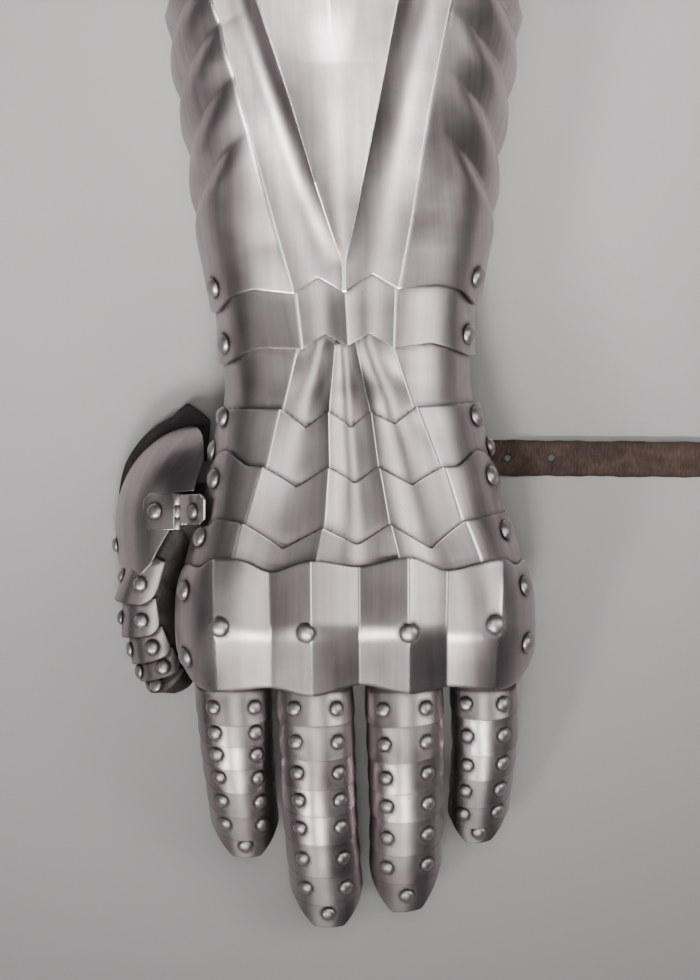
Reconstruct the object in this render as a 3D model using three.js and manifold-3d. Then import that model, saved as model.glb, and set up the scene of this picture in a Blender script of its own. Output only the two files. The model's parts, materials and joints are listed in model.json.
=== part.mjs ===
// Left-hand armoured gauntlet: fluted steel plates over a leather glove, lying palm down.
// Millimetres. +Z is up out of the back of the hand, the fingers point to -Y, the thumb is on
// the -X side and the floor is Z = 0. Plates overlap like tiles: the wrist lames lie under the
// cuff, and each hand lame lies over the one nearer the wrist.

import * as THREE from 'three';
import { mergeVertices } from 'three/addons/utils/BufferGeometryUtils.js';
import Module from 'manifold-3d';

const wasm = await Module();
wasm.setup();

const { clamp, degToRad, lerp, smoothstep } = THREE.MathUtils;

// ---- driving dimensions ----

const plateThickness = 1.2;
const fingerThickness = 1.0;
const leatherThickness = 1.8;
const pieceGap = 0.4;            // clearance between pieces that lie on each other
const layerStep = 2.0;           // height of a covering edge over the plate under it
const hiddenDrop = -2.0;         // how far a covered end dips, so that its neighbour can rock
const crownPower = 2.4;          // squareness of the plate sections, 2 is an ellipse
const sideTuck = 0.12;           // how far a side wall leans in for each mm that it goes down
const sideDrop = 9;              // height of a lame's side wall below its widest line

const plateRivet = { radius: 3.2, height: 2.2, sides: 8 };
const fingerRivet = { radius: 2.4, height: 1.6, sides: 6 };
const pivotShank = { radius: 1.5, clearance: 0.6, tailRadius: 2.8, tailHeight: 0.9 };
const pivotAngle = 68;           // degrees from the crown to every side rivet

const centreOffset = new THREE.Vector2(-20.4, 6.97);  // brings the whole box over the origin

// ---- materials ----

const steel = new THREE.MeshStandardMaterial({ color: 0xb4b0ae, metalness: 1, roughness: 0.32 });
const gloveLeather = new THREE.MeshStandardMaterial({ color: 0x3a2a22, metalness: 0, roughness: 0.8 });
const strapLeather = new THREE.MeshStandardMaterial({ color: 0x6b5041, metalness: 0, roughness: 0.9 });

const gauntlet = new THREE.Group();
gauntlet.position.set(centreOffset.x, centreOffset.y, 0);

function addPiece(name, solid, material) {
  const piece = new THREE.Mesh(toGeometry(solid), material.clone());
  piece.name = name;
  gauntlet.add(piece);
}

// ---- solids ----

function toSolid(geometry) {
  const bare = new THREE.BufferGeometry();
  bare.setAttribute('position', geometry.getAttribute('position'));
  bare.setIndex(geometry.getIndex());
  const merged = mergeVertices(bare, 1e-4);
  const corners = [];
  const index = merged.getIndex().array;
  for (let i = 0; i < index.length; i += 3) {
    const [a, b, c] = [index[i], index[i + 1], index[i + 2]];
    if (a !== b && b !== c && c !== a) corners.push(a, b, c);
  }
  return new wasm.Manifold(new wasm.Mesh({
    numProp: 3,
    vertProperties: new Float32Array(merged.getAttribute('position').array),
    triVerts: new Uint32Array(corners),
  }));
}

function toGeometry(solid) {
  const mesh = solid.getMesh();
  const geometry = new THREE.BufferGeometry();
  geometry.setAttribute('position', new THREE.Float32BufferAttribute(mesh.vertProperties, 3));
  geometry.setIndex(Array.from(mesh.triVerts));
  geometry.computeVertexNormals();
  return geometry;
}

// Solid from a list of points and a list of corner numbers.
function solidFrom(points, corners) {
  const geometry = new THREE.BufferGeometry();
  const numbers = points.flatMap((point) => point.toArray());
  geometry.setAttribute('position', new THREE.Float32BufferAttribute(numbers, 3));
  geometry.setIndex(corners);
  return toSolid(geometry);
}

// A bent wall. outside(i, j) gives its outer face, with rows i running to the fingers and columns
// j from left to right; the inner face is that grid moved in along its own normals.
function wall(rows, columns, outside, thickness) {
  const grid = [];
  for (let i = 0; i <= rows; i += 1) {
    for (let j = 0; j <= columns; j += 1) grid.push(outside(i / rows, j / columns));
  }
  const at = (i, j) => i * (columns + 1) + j;
  const inside = grid.map((point, k) => {
    const i = Math.floor(k / (columns + 1));
    const j = k % (columns + 1);
    const down = grid[at(Math.min(i + 1, rows), j)].clone().sub(grid[at(Math.max(i - 1, 0), j)]);
    const across = grid[at(i, Math.min(j + 1, columns))].clone().sub(grid[at(i, Math.max(j - 1, 0))]);
    return point.clone().addScaledVector(down.cross(across).normalize(), -thickness);
  });
  const half = grid.length;
  const corners = [];
  const quad = (a, b, c, d) => corners.push(a, b, c, a, c, d);
  for (let i = 0; i < rows; i += 1) {
    for (let j = 0; j < columns; j += 1) {
      const [a, b, c, d] = [at(i, j), at(i + 1, j), at(i + 1, j + 1), at(i, j + 1)];
      quad(a, b, c, d);
      quad(d + half, c + half, b + half, a + half);
    }
  }
  for (let j = 0; j < columns; j += 1) {
    quad(at(0, j), at(0, j + 1), at(0, j + 1) + half, at(0, j) + half);
    quad(at(rows, j + 1), at(rows, j), at(rows, j) + half, at(rows, j + 1) + half);
  }
  for (let i = 0; i < rows; i += 1) {
    quad(at(i + 1, 0), at(i, 0), at(i, 0) + half, at(i + 1, 0) + half);
    quad(at(i, columns), at(i + 1, columns), at(i + 1, columns) + half, at(i, columns) + half);
  }
  return solidFrom([...grid, ...inside], corners);
}

// A closed solid skinned over rings that all have the same number of points. The rings turn
// anticlockwise as seen from the end that the list runs to.
function loft(rings) {
  const sides = rings[0].length;
  const points = rings.flat();
  const corners = [];
  for (let i = 0; i + 1 < rings.length; i += 1) {
    for (let j = 0; j < sides; j += 1) {
      const next = (j + 1) % sides;
      const [a, b] = [i * sides + j, i * sides + next];
      const [c, d] = [b + sides, a + sides];
      corners.push(a, b, c, a, c, d);
    }
  }
  const last = (rings.length - 1) * sides;
  for (let j = 1; j + 1 < sides; j += 1) {
    corners.push(0, j + 1, j);
    corners.push(last, last + j, last + j + 1);
  }
  return solidFrom(points, corners);
}

// A turned solid on the Y axis, moved so that Y points along the given direction from a seat.
function turned(profile, sides, seat, direction) {
  const geometry = new THREE.LatheGeometry(profile.map(([r, h]) => new THREE.Vector2(r, h)), sides);
  const turn = new THREE.Quaternion().setFromUnitVectors(new THREE.Vector3(0, 1, 0), direction);
  geometry.applyQuaternion(turn);
  geometry.translate(seat.x, seat.y, seat.z);
  return toSolid(geometry);
}

function domeProfile(size) {
  const { radius, height } = size;
  return [[0.75 * radius, 0.75 * height], [0, height]];
}

const rivetSink = 0.5;           // a fused head starts this far inside its plate

function head(size, place) {
  const profile = [[0, -rivetSink], [size.radius, -rivetSink], ...domeProfile(size)];
  return turned(profile, size.sides, place.point, place.normal);
}

// Head, shank and inner tail of a rivet that two plates turn on. grip is the depth that it holds.
function pivot(size, place, grip) {
  const { radius, tailRadius, tailHeight } = pivotShank;
  const profile = [[0, -grip - tailHeight], [tailRadius, -grip - tailHeight], [tailRadius, -grip],
    [radius, -grip], [radius, -rivetSink], [size.radius, -rivetSink], ...domeProfile(size)];
  return turned(profile, size.sides, place.point, place.normal);
}

function boreFor(radius, reach, place) {
  const profile = [[0, -reach], [radius, -reach], [radius, reach], [0, reach]];
  return turned(profile, 8, place.point, place.normal);
}

// ---- chains of values ----

// Value at t on straight lines through [t, value] pairs listed in rising t.
function chain(pairs, t) {
  const last = pairs.length - 1;
  if (t <= pairs[0][0]) return pairs[0][1];
  if (t >= pairs[last][0]) return pairs[last][1];
  const i = pairs.findIndex((pair) => pair[0] > t) - 1;
  return lerp(pairs[i][1], pairs[i + 1][1], (t - pairs[i][0]) / (pairs[i + 1][0] - pairs[i][0]));
}

// The same pairs with the corners rounded: the mean of the chain over a window round t.
function soft(pairs, t, reach) {
  const steps = 8;
  let sum = 0;
  for (let i = 0; i < steps; i += 1) sum += chain(pairs, t + reach * ((2 * i + 1) / steps - 1));
  return sum / steps;
}

// ---- the form that the plates follow ----

// Each list runs from the fingers to the elbow as [y, value]. half is half the width, crown the
// height of the top, spring the height of the widest line.
const armForm = {
  centre: [[-60, 1.3], [-32, 1.0], [0, -0.8], [26, -1.7], [100, -2]],
  half: [[-70, 56.5], [-60, 54.3], [-47, 49.5], [-32, 45.7], [-16, 42.3], [-4, 39.6], [10, 39.8],
    [26, 41.8], [38, 44.3], [50, 47], [72, 50], [98, 54.5], [130, 58], [165, 60]],
  crown: [[-72, 62.3], [-47, 61], [-32, 59.5], [-16, 57.5], [0, 56.5], [26, 58], [50, 63], [100, 80],
    [165, 98]],
  spring: [[-60, 28], [0, 28], [26, 29], [50, 31], [98, 36], [165, 44]],
  power: crownPower,
};

const knuckleForm = {
  centre: [[-100, 2.0], [-56, 1.4]],
  half: [[-103, 54], [-97, 55.5], [-88, 57.6], [-80, 58.2], [-68, 57.8], [-56, 55]],
  crown: [[-103, 53], [-80.5, 66], [-56, 66]],
  spring: [[-100, 25], [-56, 28]],
  power: 2.8,
};

function formAt(form, y) {
  return {
    centre: soft(form.centre, y, 4),
    half: soft(form.half, y, 4),
    crown: soft(form.crown, y, 2.5),
    spring: soft(form.spring, y, 4),
    power: form.power,
  };
}

// A point of the form at y. angle is degrees from the crown, negative on the thumb side, and past
// 90 it counts millimetres down the side wall. lift moves the point outwards.
function formPoint(form, y, angle, lift) {
  const { centre, half, crown, spring, power } = formAt(form, y);
  const bend = degToRad(Math.min(Math.abs(angle), 90));
  const below = Math.max(Math.abs(angle) - 90, 0);
  const out = (half + lift) * Math.sin(bend) ** (2 / power) - sideTuck * below;
  const up = (crown - spring + lift) * Math.cos(bend) ** (2 / power);
  return new THREE.Vector3(centre + Math.sign(angle) * out, y, spring + up - below);
}

// The angle at which the form at y has the plan position x.
function angleAt(form, y, x) {
  const { centre, half, power } = formAt(form, y);
  const share = clamp(Math.abs(x - centre) / half, 0, 1);
  return Math.sign(x - centre) * THREE.MathUtils.radToDeg(Math.asin(share ** (power / 2)));
}

// ---- fluted plates ----

// A plate has sharp ridges, each a list of [y, x], and hollows between them. Its place across is
// counted by ridge: 0 is the thumb-side edge, 1 the first ridge, 1.5 the hollow after it, and so
// on to the other edge. wristEdge and fingerEdge give y over that count.
function plateAngle(plate, y, count) {
  const { form, ridges } = plate;
  const ridgeAngle = (k) => angleAt(form, y, soft(ridges[k], y, 2));
  const edge = 90 + plate.drop(y);
  if (count <= 1) return lerp(-edge, ridgeAngle(0), count);
  if (count >= ridges.length) return lerp(ridgeAngle(ridges.length - 1), edge, count - ridges.length);
  const k = Math.floor(count);
  const x = lerp(soft(ridges[k - 1], y, 2), soft(ridges[k], y, 2), count - k);
  return angleAt(form, y, x);
}

const roundHollow = (t) => 1 - (2 * t - 1) ** 2;
const sharpHollow = (t) => 1 - Math.abs(2 * t - 1);

function plateLift(plate, y, count, angle) {
  let lift = chain(plate.lift, y);
  if (count > 1 && count < plate.ridges.length) {
    const t = count - Math.floor(count);
    lift -= chain(plate.depth[Math.floor(count) - 1], y) * plate.hollow(t);
  }
  return plate.relief ? lift + plate.relief(y, angle, count) : lift;
}

function platePoint(plate, y, count) {
  const angle = plateAngle(plate, y, count);
  return formPoint(plate.form, y, angle, plateLift(plate, y, count, angle));
}

// The even columns of a plate: sideSteps on each side and ridgeSteps from ridge to ridge.
function plateCounts(plate) {
  const counts = [];
  const { sideSteps, ridgeSteps, ridges } = plate;
  for (let i = 0; i < sideSteps; i += 1) counts.push(i / sideSteps);
  for (let i = 0; i < ridgeSteps * (ridges.length - 1); i += 1) counts.push(1 + i / ridgeSteps);
  for (let i = 0; i <= sideSteps; i += 1) counts.push(ridges.length + i / sideSteps);
  return counts;
}

function plateWall(plate) {
  const counts = plateCounts(plate);
  const outside = (v, u) => {
    const count = counts[Math.round(u * (counts.length - 1))];
    return platePoint(plate, lerp(plate.wristEdge(count), plate.fingerEdge(count), v), count);
  };
  return wall(plate.rows, counts.length - 1, outside, plateThickness);
}

// Seat and outward direction of a side rivet at y; side is -1 for the thumb side.
function sidePlace(plate, y, side, angle = pivotAngle) {
  const lift = chain(plate.lift, y);
  const at = (dy, da) => formPoint(plate.form, y + dy, side * (angle + da), lift);
  const along = at(1, 0).sub(at(-1, 0));
  const around = at(0, 1).sub(at(0, -1));
  const normal = around.cross(along).normalize();
  if (normal.z < 0) normal.negate();
  return { point: at(0, 0), normal };
}

// Seat and outward direction of a rivet on top of a plate at a count across.
function topPlace(plate, y, count) {
  const down = platePoint(plate, y - 1, count).sub(platePoint(plate, y + 1, count));
  const across = platePoint(plate, y, count + 0.04).sub(platePoint(plate, y, count - 0.04));
  return { point: platePoint(plate, y, count), normal: down.cross(across).normalize() };
}

const edgeBy = (pairs) => (count) => chain(pairs, count);

// Ridges that the hand lames share, and those that the cuff and the first wrist lame share.
const handRidges = [
  [[-70, -39.5], [-58, -37], [-46, -33.5], [-28, -26.8], [-9.5, -21.3], [13, -15.5], [22, -15]],
  [[-70, -12], [-58, -10.6], [-46, -8], [-28, -6.5], [-9.5, -6.6], [13, -4.8], [22, -3.6]],
  [[-70, 17.5], [-58, 15.7], [-46, 12.5], [-28, 9], [-9.5, 6.3], [13, 1.6], [22, 0.6]],
  [[-70, 45], [-58, 41.6], [-46, 36], [-28, 29], [-9.5, 20.5], [13, 12.5], [22, 12]],
];
const wristRidges = [
  [[5, -13.6], [28.8, -17.3], [42, -21.5]],
  [[5, -0.4], [28.8, -1.6], [42, -1.9]],
  [[5, 13], [28.8, 14.6], [42, 16.8]],
];
const cuffRidges = [
  [[20, -16.4], [28.8, -17.3], [64.6, -28.2], [83, -33.3], [121.6, -44], [165, -50]],
  [[20, -2.1], [37.8, -2.5], [64.6, -11.8], [90.6, -19.8], [121.6, -30.5], [165, -38]],
  [[20, -1.1], [37.8, -1.3], [55.7, 2.6], [86.7, 9], [121.6, 15.7], [165, 21]],
  [[20, 14.2], [28.8, 14.6], [54.1, 19.8], [86.7, 25.3], [121.6, 32.6], [165, 38]],
];

const lameDrop = () => sideDrop;
const thumbDrop = () => 4;       // the plates beside the thumb end higher

const lameStyle = {
  form: armForm,
  rows: 3,
  sideSteps: 5,
  ridgeSteps: 4,
  hollow: roundHollow,
  drop: lameDrop,
};

const handDepth = [0, 1, 2].map(() => [[-70, 3.8], [-46, 3.5], [-28, 3.1], [-9, 2.7]]);

const plates = {
  wrist_lame_1: {
    ...lameStyle,
    ridges: wristRidges,
    depth: [0, 1].map(() => [[8, 1.5], [42, 1.8]]),
    lift: [[6, layerStep], [27, 0], [41, hiddenDrop]],
    wristEdge: edgeBy([[0, 33], [0.15, 38], [0.5, 41], [3.5, 42], [3.85, 40], [4, 35]]),
    fingerEdge: edgeBy([[0, 11], [0.15, 6], [0.38, 4.8], [0.6, 8.8], [0.76, 10.1], [1, 9.6], [1.5, 14.6],
      [2, 10.6], [2.5, 14.7], [3, 10.1], [3.24, 11.8], [3.4, 10.2], [3.62, 8], [3.85, 8.5], [4, 13]]),
  },
  wrist_lame_2: {
    ...lameStyle,
    ridges: handRidges,
    depth: [[[-9, 2.7], [12, 1.8]], [[-9, 2.7], [12, 0.8]], [[-9, 2.7], [12, 1.8]]],
    lift: [[-21, hiddenDrop], [-9, 0], [9, 0], [22, hiddenDrop]],
    relief: (y, angle, count) => {
      const middle = clamp(1.2 - 0.8 * Math.abs(count - 2.5), 0, 1);
      return -1.3 * smoothstep(y, -4, 12) * middle;
    },
    wristEdge: edgeBy([[0, 14], [0.15, 19], [0.5, 22], [4.5, 23], [4.85, 20], [5, 15]]),
    fingerEdge: edgeBy([[0, -13], [0.15, -16.5], [0.4, -17.6], [0.6, -22], [4.4, -22], [4.6, -17.6],
      [4.85, -16.5], [5, -13]]),
  },
  hand_lame_1: {
    ...lameStyle,
    ridges: handRidges,
    depth: handDepth,
    lift: [[-41, hiddenDrop], [-30, 0], [-9, layerStep], [-5, layerStep]],
    wristEdge: edgeBy([[0, -16], [0.12, -9.5], [1, -9.3], [1.5, -15.4], [2, -9.9], [2.5, -15.4], [3, -9.9],
      [3.5, -14.4], [4, -8.5], [4.88, -6.5], [5, -14]]),
    fingerEdge: edgeBy([[0, -33], [0.12, -37], [0.6, -41], [4.4, -41], [4.88, -37], [5, -33]]),
  },
  hand_lame_2: {
    ...lameStyle,
    ridges: handRidges,
    depth: handDepth,
    drop: thumbDrop,
    lift: [[-60, hiddenDrop], [-48, 0], [-28, layerStep], [-22, layerStep]],
    wristEdge: edgeBy([[0, -34], [0.15, -30], [0.35, -26.5], [0.45, -23.4], [0.585, -22.4], [0.85, -27.5],
      [1, -27.8], [1.5, -34.4], [2, -27.8], [2.5, -33.1], [3, -27.5], [3.5, -33.8], [4, -27.6],
      [4.15, -27.4], [4.415, -22.4], [4.55, -23], [4.65, -25.5], [4.85, -29], [5, -33]]),
    fingerEdge: edgeBy([[0, -51], [0.12, -55], [0.6, -60], [4.4, -60], [4.88, -54.5], [5, -50]]),
  },
  hand_lame_3: {
    ...lameStyle,
    ridges: handRidges,
    depth: handDepth,
    drop: thumbDrop,
    lift: [[-71, hiddenDrop], [-60, 0.6], [-46, layerStep], [-42, layerStep]],
    wristEdge: edgeBy([[0, -53], [0.2, -49.4], [0.35, -47.6], [0.6, -46.8], [0.71, -44.5], [1, -45.6],
      [1.5, -54.1], [2, -47.4], [2.5, -52.8], [3, -45.8], [3.5, -54.1], [4, -44.8], [4.6, -42.2],
      [4.85, -42.5], [5, -49]]),
    fingerEdge: edgeBy([[0, -67], [0.15, -71.5], [0.6, -71], [4.4, -71], [4.85, -70.5], [5, -66]]),
  },
  knuckle_plate: {
    ...lameStyle,
    form: knuckleForm,
    rows: 4,
    ridgeSteps: 2,
    hollow: sharpHollow,
    drop: () => 1.5,
    ridges: [
      [[-100, -42.6], [-57, -43.7]],
      [[-100, -12.2], [-57, -12.6]],
      [[-100, 18.9], [-57, 18.8]],
      [[-100, 46.7], [-57, 49.2]],
    ],
    depth: [[[-100, 3.6], [-80, 4.8]], [[-100, 4], [-80, 5]], [[-100, 3.6], [-80, 4.8]]],
    lift: [[-100, 0], [-57, 0]],
    wristEdge: edgeBy([[0, -71], [0.12, -64.5], [0.3, -59.2], [0.61, -58.6], [0.74, -61.4], [0.95, -57],
      [1.25, -57], [1.5, -62.4], [2, -57.3], [2.5, -60], [3, -56], [3.5, -61.5], [4, -56.5], [4.3, -59.8],
      [4.6, -56.3], [4.85, -62], [5, -70]]),
    fingerEdge: edgeBy([[0, -83], [0.3, -90.5], [0.55, -97], [0.8, -99.5], [1, -100.2], [1.5, -98.2],
      [2, -101.8], [2.5, -97], [3, -100.8], [3.5, -97.9], [4, -99.5], [4.3, -98], [4.6, -93], [4.8, -87.7],
      [5, -83]]),
  },
};

// ---- cuff ----

const elbowArch = { y: 98, halfWidth: 59, length: 65 };      // its elbow edge is half an ellipse in plan
const lobe = { pitch: 18.5, first: 94.8, slope: 0.48, height: 2.5 };

// Slanting lobes on the sides with creases between them: |sin| of a phase that rises with y and
// with the way round, level below the first crease and faded out towards the back of the hand.
function cuffRelief(y, angle, count) {
  const round = Math.abs(angle);
  const phase = (y + lobe.slope * round - lobe.first) / lobe.pitch;
  const petal = Math.abs(Math.sin(Math.PI * Math.max(phase, -0.5)));
  const fade = smoothstep(round, 30, 62) * smoothstep(y, 34, 60);
  const keel = 2 * smoothstep(y, 98, 135) * clamp(1 - Math.abs(count - 2.5) / 0.2, 0, 1);
  return fade * lobe.height * (petal - 0.65) + keel;
}

const cuff = {
  form: armForm,
  rows: 10,
  sideSteps: 9,
  ridgeSteps: 2,
  hollow: roundHollow,
  ridges: cuffRidges,
  drop: (y) => chain([[24, 13], [50, 22], [98, 35.5], [165, 38]], y),
  depth: [[[28, 1.8], [60, 2.4], [120, 3.4]], [[40, 0], [60, 1.2], [100, 3.4], [165, 4]],
    [[28, 1.8], [60, 2.4], [120, 3.4]]],
  lift: [[24, layerStep], [34, layerStep], [58, 0]],
  relief: cuffRelief,
  wristEdge: (count) => {
    let y = elbowArch.y;
    for (let i = 0; i < 12; i += 1) {
      const { x } = formPoint(armForm, y, plateAngle(cuff, y, count), 0);
      const share = clamp((x - soft(armForm.centre, y, 4)) / elbowArch.halfWidth, -1, 1);
      const level = clamp(6 * Math.min(count, 5 - count), 0, 1);
      y = lerp(y, elbowArch.y + level * elbowArch.length * Math.sqrt(1 - share ** 2), 0.6);
    }
    return y;
  },
  fingerEdge: edgeBy([[0, 30], [0.2, 22], [0.365, 21.3], [0.567, 26.4], [0.78, 28.8], [1, 27.2],
    [1.5, 32.6], [2, 27.8], [3, 27.8], [3.5, 33.6], [4, 28.8], [4.22, 30.1], [4.43, 28.6], [4.63, 24.3],
    [4.8, 24], [5, 31]]),
};
plates.cuff = cuff;

// ---- the rivets that the plates turn on ----

// Each joint: the plate on top, the plate under it, y at the thumb side and at the other side, and
// the depth from the top plate's face to the rivet's inner tail.
const pivots = [
  ['cuff', 'wrist_lame_1', 29.7, 33.1, 4.9],
  ['wrist_lame_1', 'wrist_lame_2', 11.7, 14.8, 4.4],
  ['hand_lame_1', 'wrist_lame_2', -11.8, -11.4, 4.4],
  ['hand_lame_2', 'hand_lame_1', -31.6, -30.5, 4.4],
  ['hand_lame_3', 'hand_lame_2', -50.3, -48.1, 4.4],
  ['knuckle_plate', 'hand_lame_3', -67.4, -65.8, 7.3],
];

const plateSolids = {};
for (const [name, plate] of Object.entries(plates)) plateSolids[name] = plateWall(plate);

for (const [top, under, thumbY, outerY, grip] of pivots) {
  for (const [y, side] of [[thumbY, -1], [outerY, 1]]) {
    const place = sidePlace(plates[top], y, side);
    const hole = boreFor(pivotShank.radius + pivotShank.clearance, 9, place);
    plateSolids[under] = plateSolids[under].subtract(hole);
    plateSolids[top] = plateSolids[top].add(pivot(plateRivet, place, grip));
  }
}

// Heads that only hold leather: the strap rivets, the knuckle row and the lower knuckle sides.
const strapRivetAngle = 84;
for (const [y, side] of [[-22.4, -1], [-21.2, 1]]) {
  const place = sidePlace(plates.hand_lame_1, y, side, strapRivetAngle);
  plateSolids.hand_lame_1 = plateSolids.hand_lame_1.add(head(plateRivet, place));
}
const knuckleHeads = [[-78.9, 1.04], [-80.7, 1.94], [-80.7, 3.0], [-78, 3.96]];
for (const [y, count] of knuckleHeads) {
  const place = topPlace(plates.knuckle_plate, y, count);
  plateSolids.knuckle_plate = plateSolids.knuckle_plate.add(head(plateRivet, place));
}
for (const [y, side] of [[-88.7, -1], [-83.9, 1]]) {
  const place = sidePlace(plates.knuckle_plate, y, side);
  plateSolids.knuckle_plate = plateSolids.knuckle_plate.add(head(plateRivet, place));
}
for (const [name, solid] of Object.entries(plateSolids)) addPiece(name, solid, steel);

// ---- finger and thumb lames ----

// A band lame bends over a finger. It runs from one place to the next on the line along the top of
// the finger. A place is { point, across, up, half, rise, wrap, lift }: half is half its width, rise
// the depth of its curve, wrap the degrees from its top to its side edges and lift the height of
// its free end over the next lame. end(u) is how much of its length is left at u, from -1 to 1 across.
const fingerLift = 2.45;
const bandCorner = 0.62;         // where its rounded corners start, as a share of half its width

function squareEnd(u) {
  const t = clamp((Math.abs(u) - bandCorner) / (1 - bandCorner), 0, 1);
  return 1 - 0.42 * (1 - Math.sqrt(1 - t ** 2));
}

function pointedEnd(u) {
  return 1 - 0.85 * clamp((Math.abs(u) - 0.3) / 0.7, 0, 1);
}

function bandPoint(start, finish, v, u, end) {
  const share = v * end(u);
  const blend = (key) => start[key].clone().lerp(finish[key], share);
  const [half, rise, wrap] = ['half', 'rise', 'wrap'].map((key) => lerp(start[key], finish[key], share));
  const lift = finish.lift * share;
  const bend = degToRad(wrap * u);
  return blend('point')
    .addScaledVector(blend('across'), (half + lift) * Math.sin(bend))
    .addScaledVector(blend('up'), (rise + lift) * Math.cos(bend) - rise);
}

function bandLame(start, finish, rivets, end = squareEnd) {
  const outside = (v, u) => bandPoint(start, finish, v, 2 * u - 1, end);
  let solid = wall(1, 8, outside, fingerThickness);
  for (const [v, u] of rivets) {
    const at = (dv, du) => bandPoint(start, finish, v + dv, u + du, end);
    const down = at(0.05, 0).sub(at(-0.05, 0));
    const across = at(0, 0.05).sub(at(0, -0.05));
    solid = solid.add(head(fingerRivet, { point: at(0, 0), normal: down.cross(across).normalize() }));
  }
  return solid;
}

// Fingers: the y of each lame's free edge, the tip's end, the line along the top as [y, x] pairs,
// the height of that line at the root and the tip, how late it drops, and a turn for each lame.
const fingerRoot = -98;
const fingers = {
  index: {
    edges: [-110.1, -116.8, -124.2, -131.8, -139.8, -147.2], tip: -152.6,
    line: [[-152, -33.4], [-124, -36.2], [-98, -37.6]],
    top: [45.5, 12.5], droop: 1.5, half: [12.3, 10.6], turn: 0,
  },
  middle: {
    edges: [-110.4, -121.3, -130.6, -139.2, -148.5, -159.2, -168.3], tip: -175.3,
    line: [[-175, -6.6], [-150, -9.2], [-98, -11.4]],
    top: [50, 12.7], droop: 1.7, half: [12.4, 11.4], turn: 1,
  },
  ring: {
    edges: [-110.6, -121.9, -131.8, -141.1, -152, -161.3], tip: -170.2,
    line: [[-170, 18.2], [-140, 18.6], [-98, 17.2]],
    top: [50, 12.7], droop: 1.7, half: [12.6, 11.4], turn: 6,
  },
  little: {
    edges: [-108.2, -119.7, -127.7, -136.6, -143.2], tip: -147.8,
    line: [[-147, 41.4], [-120, 43.8], [-98, 42.8]],
    top: [43.5, 12.4], droop: 1.5, half: [11, 9.6], turn: 4,
  },
};

// The place on top of a finger at y, with the axes of the lames there.
function fingerPlace(finger, y) {
  const topAt = (t) => {
    const share = clamp((fingerRoot - t) / (fingerRoot - finger.tip), 0, 1.1);
    return new THREE.Vector3(soft(finger.line, t, 4), t, lerp(...finger.top, share ** finger.droop));
  };
  const along = topAt(y - 1).sub(topAt(y + 1)).normalize();
  const turn = degToRad(finger.turn * smoothstep(-y, 104, 120));
  const across = new THREE.Vector3(Math.cos(turn), Math.sin(turn), 0);
  const up = along.clone().cross(across).normalize().negate();
  if (up.z < 0) up.negate();
  const half = lerp(...finger.half, clamp((fingerRoot - y) / (fingerRoot - finger.tip), 0, 1));
  return { point: topAt(y), across, up, half, rise: 9, wrap: 78, lift: fingerLift };
}

const lapUnder = 2.8;            // how far a lame runs on under the one before it
const fingerRivets = [[0.6, -0.41], [0.6, 0.41]];

for (const [name, finger] of Object.entries(fingers)) {
  const starts = [fingerRoot + 1, ...finger.edges.map((y) => y + lapUnder)];
  finger.edges.forEach((edge, k) => {
    const solid = bandLame(fingerPlace(finger, starts[k]), fingerPlace(finger, edge), fingerRivets);
    addPiece(`${name}_lame_${k + 1}`, solid, steel);
  });
  const tipStart = fingerPlace(finger, starts[finger.edges.length] - 1);
  const tipFinish = fingerPlace(finger, finger.tip);
  addPiece(`${name}_tip`, bandLame(tipStart, tipFinish, [[0.55, 0]], pointedEnd), steel);
}

// ---- thumb ----

// The thumb shell is a patch of an ellipsoid. bend is degrees from its top line towards the
// outside; y is the plan position.
const shellCentre = new THREE.Vector3(-47.5, -46, 8);
const shellReach = new THREE.Vector3(28.5, 32, 27);
const shellTail = 50;            // its reach along Y on the fingertip side of the centre

function shellPoint(bend, y, lift) {
  const length = y > shellCentre.y ? shellReach.y : shellTail;
  const slope = clamp((y - shellCentre.y) / length, -1, 1);
  const level = Math.sqrt(1 - slope ** 2);
  const angle = degToRad(bend);
  return new THREE.Vector3(
    shellCentre.x - (shellReach.x + lift) * level * Math.sin(angle),
    shellCentre.y + (length + lift) * slope,
    shellCentre.z + (shellReach.z + lift) * level * Math.cos(angle),
  );
}

function shellPlace(bend, y) {
  const down = shellPoint(bend, y - 0.5, 0).sub(shellPoint(bend, y + 0.5, 0));
  const across = shellPoint(bend - 1, y, 0).sub(shellPoint(bend + 1, y, 0));
  return { point: shellPoint(bend, y, 0), normal: down.cross(across).normalize() };
}

const shellTop = -14.4;
const shellFoot = [[-1, -25], [3, -30.5], [6, -35.4], [19.6, -36], [22.4, -48.6], [37, -58.8],
  [52, -63.4], [80, -59.4], [92, -57]];
const shellBends = [92, 80, 66, 52, 44, 37, 29, 22.4, 19.6, 12, 5, -1];
const shellOutside = (v, u) => {
  const bend = shellBends[Math.round(u * (shellBends.length - 1))];
  return shellPoint(bend, lerp(shellTop, chain(shellFoot, bend), v), 0);
};
const thumbShell = wall(6, shellBends.length - 1, shellOutside, plateThickness)
  .add(head(fingerRivet, shellPlace(84, -53)));
addPiece('thumb_shell', thumbShell, steel);

// The leather behind the shell shows past its rim as a skirt with one blunt point. turn is degrees
// from +Y towards the outside and reach is a share of the shell's own plan.
const skirtLevel = 4.2;
const skirtHeight = 18;
const skirtEdge = [[-4, 1.05], [8.5, 1.236], [18.5, 1.138], [43, 1.107], [56, 1.078], [68, 1.03],
  [84, 0.97]];
const backingOutside = (v, u) => {
  const turn = lerp(84, -4, u);
  const reach = lerp(chain(skirtEdge, turn), 0.66, v);
  return new THREE.Vector3(
    shellCentre.x - shellReach.x * reach * Math.sin(degToRad(turn)),
    shellCentre.y + shellReach.y * reach * Math.cos(degToRad(turn)),
    skirtLevel + skirtHeight * Math.max(0, 1 - reach ** 2),
  );
};
addPiece('thumb_backing', wall(3, 11, backingOutside, leatherThickness), gloveLeather);

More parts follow.
